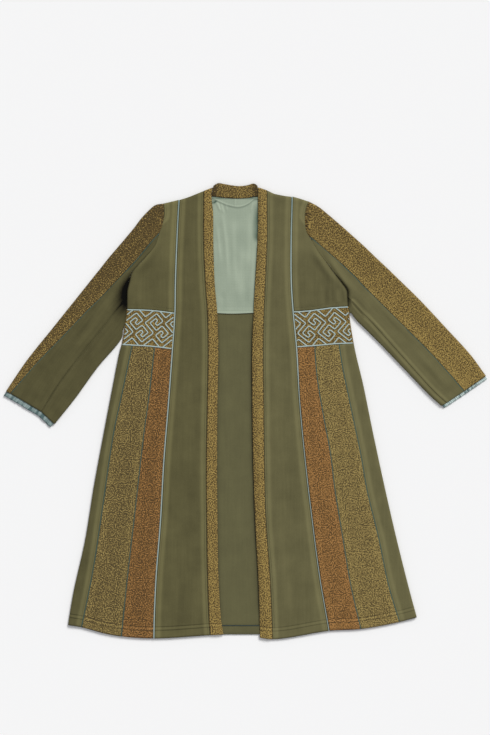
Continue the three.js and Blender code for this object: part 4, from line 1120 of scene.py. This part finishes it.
# how the cord lifts over the shoulder fold
PIPE_RISE = table("down lift", (0, 0.6), (4, 1.9), (12, 1.7), (24, 0.8), (40, 0.2), (60, 0))
PULLED_IN = {"left": 0.2, "right": 1.5}   # how much narrower the cord shows below the waist


def body_line(name, line, y, z):
    """A long seam of the body as a path."""
    return np.column_stack((LINES[name, line](y), y, z + 0 * y))


for name, s in HALVES:
    lengths = []
    for line in ("rust", "mustard"):
        top = LINES[name, "hip"](LINES[name, line](160.0)) - 0.5
        low = LINES[name, "hem"](LINES[name, line](-550.0)) + 0.4
        lengths.append(body_line(name, line, np.linspace(top, low, 150), TOP_Z + 0.1))
    sewn_on(strands(f"gore_binding_{name}", binding, lengths, **BINDING))

    top = LINES[name, "shoulder"](LINES[name, "piping"](532.0)) - 1.2
    low = LINES[name, "hem"](LINES[name, "piping"](-560.0)) + 0.2
    y = np.concatenate((top - PIPE_RISE["down"], np.linspace(top - 66, low, 220)))
    lift = np.interp(top - y, PIPE_RISE["down"], PIPE_RISE["lift"])
    cord = body_line(name, "piping", y, TOP_Z - 0.1 + lift)
    wide = PIPING_WIDTH - PULLED_IN[name] * ease(140, 20, y)
    piping = strands(f"piping_{name}_cord", piping_cloth, [cord], wide, PIPING_HEIGHT)
    sewn_on(piping, [f"piping_{name}"])

# ---------------------------------------------------------------------------
# Sleeves: tweed jersey over the outer fold, olive fleece beside it, and an underarm seam. The
# back of the sleeve comes round the lower fold to that seam.
SLEEVE = {
    "left": table(
        "outer_x outer_y seam_x seam_y under_x under_y low_x low_y",
        (-205, 520, -215, 446.5, None, None, None, None),
        (-225, 516.5, -219, 441.5, -216, 439.5, None, None),
        (-241, 504, -224, 436, -218, 431.5, None, None),
        (-261, 483, -229, 430.5, -220, 424, None, None),
        (-279, 459, -235, 424, -222, 416.5, None, None),
        (-299, 435, -254, 401, -240, 393, None, None),
        (-319, 411.5, -273, 378, -260, 371, None, None),
        (-342.5, 384, -299.5, 349, -280, 339, None, None),
        (-366, 354, -326, 321, -290, 298, None, None),
        (-373, 345.5, -333, 313.5, -296, 285, -290, 279),
        (-396, 316.5, -358.5, 286.5, -320.5, 257, -290, 240),
        (-426, 279, -393.5, 253, -350, 219, -307, 186),
        (-486, 204, -460, 183.5, -410, 144, -369, 111.5),
        (-546, 129, -527, 114, -468, 67, -424, 35.5),
        (-599, 51, -587, 44.5, -510, -1, -477.5, -31.5),
    ),
    "right": table(
        "outer_x outer_y seam_x seam_y under_x under_y low_x low_y",
        (158.5, 525, 160, 437.5, None, None, None, None),
        (181, 513, 169, 430, 162, 427.5, None, None),
        (201, 497.5, 175, 425, 165, 418.5, None, None),
        (246, 459, 193.5, 408, 182, 398.5, None, None),
        (271, 436.5, 219, 386, 200, 371, None, None),
        (296, 414, 244, 364, 220, 345, None, None),
        (325, 386, 274, 335.5, 240, 311, None, None),
        (341, 371, 290, 318, 255, 287, 250, 280),
        (359, 354, 305.5, 302, 272, 270.5, 250, 256),
        (377, 336.5, 323, 284.5, 289, 252, 270.5, 234.5),
        (436, 279, 381.5, 226, 344.5, 191, 329.5, 176.5),
        (506, 204, 454, 154, 413, 114, 400.5, 102.5),
        (561, 144, 509, 94, 467, 54.5, 456, 44.5),
        (601.5, 89, 546, 50.5, 502.5, 21.5, 489.5, 14),
    ),
}
# rows of the table at which the underarm seam and the sleeve come out from under the body, the
# height down to which the sleeve lies against it, and how near it has to be for that
UNDER = {
    "left": {"seam": 9, "free": 11, "meet": 188, "close": 4.0},
    "right": {"seam": 7, "free": 9, "meet": 232, "close": 0.15},
}
WHOLE_FOLD = section(table(
    "d z", (12, 0.05), (6, 0.1), (2, 0.7), (0, 3.6), (0.9, 6.2), (3.8, 7.7), (8, 7.9), (14, 7.3),
))
SLEEVE_RUMPLES = {
    "left": table(
        "ax ay bx by wide rise bow",
        (-300, 372, -352, 232, 12, 1.6, 0), (-232, 404, -288, 346, 7, 1.6, 0),
        (-236, 428, -300, 352, 6, -1.2, 0), (-325, 306, -400, 208, 9, 1.2, 0),
        (-345, 262, -440, 138, 8, 1.1, 0), (-370, 252, -440, 165, 6, -0.8, 0),
        (-430, 120, -500, 20, 9, 1.0, 0), (-470, 150, -545, 60, 9, -0.7, 0),
        (-360, 190, -430, 90, 8, -0.9, 0), (-300, 410, -380, 318, 8, 0.8, 0),
    ),
    "right": table(
        "ax ay bx by wide rise bow",
        (186, 396, 262, 268, 5, -2.0, -5), (200, 400, 280, 292, 9, 1.8, -4),
        (262, 286, 300, 236, 9, -2.2, 0), (300, 300, 400, 196, 9, 1.0, 0),
        (330, 262, 430, 152, 8, -0.8, 0), (410, 170, 500, 70, 9, 0.9, 0),
        (440, 120, 510, 40, 7, -0.8, 0), (290, 420, 400, 312, 9, 0.8, 0),
        (310, 230, 350, 190, 7, 1.0, 0),
    ),
}


def sleeve_line(name, line):
    """A long line of a sleeve, by row of its table."""
    rows = SLEEVE[name]
    rows = {"t": np.arange(len(rows["outer_x"]), dtype=float), **rows}
    x, y = (curve(rows, "t", f"{line}_{axis}") for axis in "xy")
    return lambda t: (x(t), y(t))


def clear_of_body(name, s, path):
    """The same line, held off the edge of the body where the sleeve lies against it."""
    def line(t):
        x, y = path(t)
        edge = EDGE[name](y)
        against = (y > UNDER[name]["meet"]) & (s * (x - edge) < UNDER[name]["close"])
        return np.where(against, edge + s * 0.15, x), y
    return line


def strip(t, u, first, second, fold=None, roll=1.0):
    """A piece of a sleeve between two of its long lines, at rows t, with a fold at the first."""
    (ax, ay), (bx, by) = first(t), second(t)
    width = np.hypot(bx - ax, by - ay)
    ux, uy = (bx - ax) / width, (by - ay) / width

    def plain(d):
        return TOP_Z + 0.5 * (1 - np.exp(-np.maximum(0, width - d) / 6))

    if fold:
        d, z, across = rolled(u, width - TIGHT, plain, fold, roll)
    else:
        d = TIGHT + u * (width - 2 * TIGHT)
        z, across = plain(d), width - d
    return {"x": ax + ux * d, "y": ay + uy * d, "z": z, "far": d, "near": width - d, "across": across}


def sleeve_length(name, t):
    """Distance down the sleeve, the mean of those along its outer fold and along the seam."""
    rows = SLEEVE[name]
    steps = sum(np.hypot(np.diff(rows[f"{k}_x"]), np.diff(rows[f"{k}_y"])) for k in ("outer", "seam")) / 2
    return np.interp(t, np.arange(len(steps) + 1), np.concatenate(([0], np.cumsum(steps))))


def sleeve_rows(name, v, start):
    """Table rows for even steps down the sleeve."""
    grid = np.linspace(start, len(SLEEVE[name]["seam_x"]) - 1, 400)
    length = sleeve_length(name, grid)
    return np.interp(mix(length[0], length[-1], v), length, grid)


# the hollow between sleeve and body below the armpit, darkened with painted shade: where it
# starts and ends, its width, its depth and how dark its painted shade gets
HOLLOW = {
    "left": {"top": 358, "low": 204, "wide": 25, "deep": 3.6, "dark": 1.5},
    "right": {"top": 352, "low": 236, "wide": 5, "deep": 2.0, "dark": 1.4},
}
FLATTER = {"left": 12.0, "right": 1.5}   # how much flatter than others the underarm seam was pressed
# the sleeves and their tweed tops have a lower tone on the left: painted shade on the side away from the
# lamp
SLEEVE_TONE = {"left": 0.15, "right": 0.4}
SLEEVE_TOP_TONE = {"left": (-0.15, 0.12), "right": (0.25, 0.5)}   # at the shoulder and at the cuff
TURNED_DIM = {"left": 0.0, "right": 0.25}
UNDERSIDE_Z = 1.85                # upper face of the side that lies on the table


def finished(name, s, spot, t, seed):
    """Adds the hollow below the armpit, the rumples and the tone to a piece of a sleeve: painted
    shade in the hollow, painted light and shade on the rumples.
    """
    top, low, wide, deep, dark = (HOLLOW[name][key] for key in ("top", "low", "wide", "deep", "dark"))
    y = spot["y"]
    inside = ease(top, mix(top, low, 0.25), y) * ease(low, mix(low, top, 0.6), y)
    wide = wide * mix(0.3, 1, ease(top, mix(top, low, 0.5), y))
    inside = inside * np.exp(-np.abs((spot["x"] - EDGE[name](y)) / wide) ** 1.7)
    spot["z"] = spot["z"] - deep * inside * ease(3.6, 6, spot["z"])
    gentle = ease(0, 6, spot["near"])
    folds = gentle * creases(spot["x"], spot["y"], SLEEVE_RUMPLES[name])
    spot["z"] = spot["z"] + 1.3 * folds
    spot["z"] = spot["z"] + gentle * 0.35 * unevenness(spot["x"], spot["y"], 40, seed + s)
    spot["along"] = sleeve_length(name, t)
    spot["tone"] = SLEEVE_TONE[name] + 0.12 * folds - dark * inside
    spot["hollow"] = 60 * inside
    return spot


def sleeve_top_shape(name, s):
    def shape(u, v):
        t = sleeve_rows(name, v, 0)
        spot = strip(t, u, sleeve_line(name, "outer"), sleeve_line(name, "seam"), SOFT_FOLD)
        # its top edge follows the armhole
        spot["x"] = np.where(v < 1e-6, EDGE[name](spot["y"]) + s * 0.2, spot["x"])
        spot = finished(name, s, spot, t, 30.0)
        spot["seam"] = spot["near"]
        spot["tone"] = mix(*SLEEVE_TOP_TONE[name], v)
        return spot
    return shape


def sleeve_front_shape(name, s):
    def shape(u, v):
        t = sleeve_rows(name, v, 1)
        spot = strip(t, u, sleeve_line(name, "seam"), clear_of_body(name, s, sleeve_line(name, "under")))
        spot = finished(name, s, spot, t, 33.0)
        # 1 where its lower edge lies against the body, 0 where that edge is the underarm seam
        body = 1 - ease(UNDER[name]["seam"] - 0.5, UNDER[name]["seam"] + 0.8, t)
        spot["z"] = spot["z"] - 0.9 * ease(3, 6, t) * body * np.exp(-spot["near"] / 12)
        spot["seam"] = FLATTER[name] * spot["near"] + 2 + 30 * body + spot["hollow"]
        # painted shade in the groove of the underarm seam
        spot["tone"] = spot["tone"] - 0.4 * (1 - body) * ridge(spot["near"], 1.8)
        return spot
    return shape


def sleeve_turned_shape(name, s):
    start, free = UNDER[name]["seam"], UNDER[name]["free"]

    def shape(u, v):
        t = sleeve_rows(name, v, start)
        lines = [clear_of_body(name, s, sleeve_line(name, line)) for line in ("low", "under")]
        spot = strip(t, u, *lines, WHOLE_FOLD, ease(free - 0.6, free + 0.25, t))
        flat = spot["z"]
        spot = finished(name, s, spot, t, 36.0)
        spot["z"] = mix(flat, spot["z"], ease(3.6, 6, flat))
        spot["seam"] = FLATTER[name] * spot["near"] + 1.2 + spot["hollow"]
        # painted shade in the groove of the underarm seam
        spot["tone"] = spot["tone"] - TURNED_DIM[name] - 0.4 * ridge(spot["near"], 1.8)
        return spot
    return shape


def sleeve_under_shape(name, s):
    free = UNDER[name]["free"]

    def shape(u, v):
        t = sleeve_rows(name, v, 0)
        low = sleeve_line(name, "low")
        (ax, ay), (lx, ly) = sleeve_line(name, "outer")(t), low(np.maximum(t, free))
        # its inner edge follows the armhole down to where the lower fold comes free of the body
        body_y = mix(512.0, low(free)[1], np.clip(t / free, 0, 1))
        bx = np.where(t < free, EDGE[name](body_y) + s * 1.2, lx)
        by = np.where(t < free, body_y, ly)
        width = np.hypot(bx - ax, by - ay)
        inset = mix(2.0, 13.0, ease(free - 0.6, free + 0.25, t))
        d = mix(1.3, np.maximum(3, width - inset), u)
        x, y = ax + (bx - ax) / width * d, ay + (by - ay) / width * d
        return {"x": x, "y": y, "z": UNDERSIDE_Z, "across": d, "along": sleeve_length(name, t)}
    return shape


for name, s in HALVES:
    flat_side = cloth(f"sleeve_back_{name}_flat", 20, 80, FLEECE, OLIVE[name], sleeve_under_shape(name, s))
    lay(flat_side, [f"sleeve_back_{name}"])
    turned = cloth(f"sleeve_back_{name}_turned", 36, 90, FLEECE, OLIVE[name], sleeve_turned_shape(name, s))
    lay(turned, [f"sleeve_back_{name}"])
    front = cloth(f"sleeve_front_{name}_fleece", 30, 120, FLEECE, OLIVE[name], sleeve_front_shape(name, s))
    lay(front, [f"sleeve_front_{name}"])
    top = cloth(f"sleeve_top_{name}_tweed", 30, 110, FLEECE, ochre, sleeve_top_shape(name, s))
    lay(top, [f"sleeve_top_{name}"])

# ---------------------------------------------------------------------------
# Stitches: dark teal binding along the seam of each tweed sleeve top, and rows of olive
# topstitching beside the neckband, above the waistband and beside the underarm seam.
SLEEVE_BINDING = {"width": 2.3, "height": 0.9, "sides": 6}
olive_thread = thread_material("olive sewing thread", "#4c4a30", "#7a7652")

for name, s in HALVES:
    t = np.linspace(0.3, len(SLEEVE[name]["seam_x"]) - 1.02, 240)
    seam = np.column_stack((*sleeve_line(name, "seam")(t), TOP_Z + 0.2 + 0 * t))
    sewn_on(strands(f"sleeve_binding_{name}", binding, [seam], **SLEEVE_BINDING))
    band_row = body_line(name, "outer", np.linspace(530, -545, 500), TOP_Z + 0.75)
    band_row[:, 0] += s * 5.2
    x = np.linspace(LINES[name, "piping"](250.0) + s * 6, EDGE[name](256.0) - s * 9, 120)
    waist_row = np.column_stack((x, LINES[name, "waist"](x) + 9, TOP_Z + 0.55 + 0 * x))
    t = np.linspace(UNDER[name]["free"] + 0.1, len(SLEEVE[name]["seam_x"]) - 1.02, 260)
    (low_x, low_y), (seam_x, seam_y) = (np.stack(sleeve_line(name, line)(t)) for line in ("low", "under"))
    off = 6.0 / np.hypot(low_x - seam_x, low_y - seam_y)
    arm_row = np.column_stack((
        mix(seam_x, low_x, off), mix(seam_y, low_y, off), TOP_Z + 0.75 + 0 * t,
    ))
    rows = [band_row, waist_row, arm_row]
    sewn_on(stitched(f"topstitches_{name}", olive_thread, rows))

# ---------------------------------------------------------------------------
# Cuff trims: a crinkled aqua ribbon sewn inside each cuff so that it stands out past the end of
# the sleeve, once on the upper side and once on the lower.
FRILL = {"left": (-8.2, -9.0), "right": (4.6, -5.4)}   # from the cuff to the ribbon's free edge
TUCKED = 3.5                      # width of the ribbon that lies inside the cuff
CRINKLE = {"left": (7.0, 0.15), "right": (3.0, 0.6)}   # size of the crinkles, share of even pleats
# the left cuff has a lower tone, painted shade on the side away from the lamp; both get darker outwards
CUFF_TONE = {"left": (0.58, -0.4), "right": (1.0, -0.2)}   # at the sleeve, and its change outwards
# painted shade in folds: distance round the cuff from its outer fold, width, and how dark the
# shade is
CUFF_FOLDS = {
    "left": table("at wide dark", (1, 4, 0.6), (22, 3, 0.3), (75, 3, 0.7), (94, 3, 0.5), (111, 4, 0.9)),
    "right": table(
        "at wide dark", (33, 5, 0.5), (44, 3, 0.6), (56, 3, 1.1), (64, 2.5, 0.9), (80, 2.5, 0.7),
        (96, 2, 0.3), (113, 3, 0.3), (131, 5, 1.3),
    ),
}


def ribbon_material():
    """Crinkled ribbon: thin plain weave with a soft silky gloss, with painted shade down in its folds."""
    made, tree = bare_material("aqua crinkled ribbon")
    cut, tone = layers(tree)
    crumple, threads = (specks(tree, cut, size, Roughness=0.55) for size in (5, 1.2))
    shade = weighted(tree, tone, (crumple, 0.5), (threads, 0.2))
    surface(tree, {
        "Base Color": tinted(tree, shade, "#4b6363", "#bccdc9", clamped=True), "Roughness": 0.5,
        "Specular IOR Level": 0.4, "Sheen Weight": 0.1,
    })
    return made


def ribbon_shape(name, inside, level, more, seed):
    """The ribbon starts at height `inside` in the cuff, stands out at `level`, and reaches `more`
    past the other layer."""
    last = len(SLEEVE[name]["seam_x"]) - 1
    corners = np.array([[float(c) for c in sleeve_line(name, line)(last)] for line in (
        "outer", "seam", "under", "low")])
    cuff = lengths_of(corners)
    out = np.array(FRILL[name])
    reach = float(np.hypot(*out))

    def shape(u, v):
        f = mix(0.02, 0.98, u) * cuff[-1]
        x, y = (np.interp(f, cuff, corners[:, k]) for k in (0, 1))
        sway = unevenness(f, 0 * f, 20, seed)
        size, pleat = CRINKLE[name]
        wave = unevenness(f, 4 * v, size, seed) + pleat * np.sin(f * 1.35 + 2.0 * sway)
        wave = wave + 0.4 * unevenness(f, 6 * v, 2.4, seed + 7)
        past = mix(-TUCKED, (reach + more) * (1 + 0.07 * wave), v)
        depth = ease(-0.5, 2.5, past) * (0.6 + 0.4 * v)
        z = mix(inside, level, ease(-1, 2, past)) + 0.75 * wave * depth - 0.5 * v
        start, change = CUFF_TONE[name]
        # painted light on the crests of the crinkles, painted shade in their troughs and where the ribbon
        # comes out from under the cuff
        tone = start + change * v + 0.3 * wave * depth - 0.3 * ridge(past, 1.2)
        for at, wide, dark in zip(*(CUFF_FOLDS[name][key] for key in ("at", "wide", "dark"))):
            tone = tone - dark * ridge(f - at - 3 * v, wide) * ease(0, 0.4, v)
        return {
            "x": x + out[0] / reach * past, "y": y + out[1] / reach * past, "z": z,
            "across": v * (reach + TUCKED), "along": 1.2 * f, "tone": tone,
        }
    return shape


aqua = ribbon_material()
for name, s in HALVES:
    for side, *layer in (("lower", 2.4, 1.5, 1.2, 50.0), ("upper", 4.0, 5.0, 0.0, 53.0)):
        trim = cloth(f"cuff_ribbon_{name}_{side}", 170, 10, 0.4, aqua, ribbon_shape(name, *layer))
        lay(trim, [f"cuff_frill_{name}"])

# ---------------------------------------------------------------------------
# Bounds of this model in metres: of all that is shown, without the backdrop.
low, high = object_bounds()
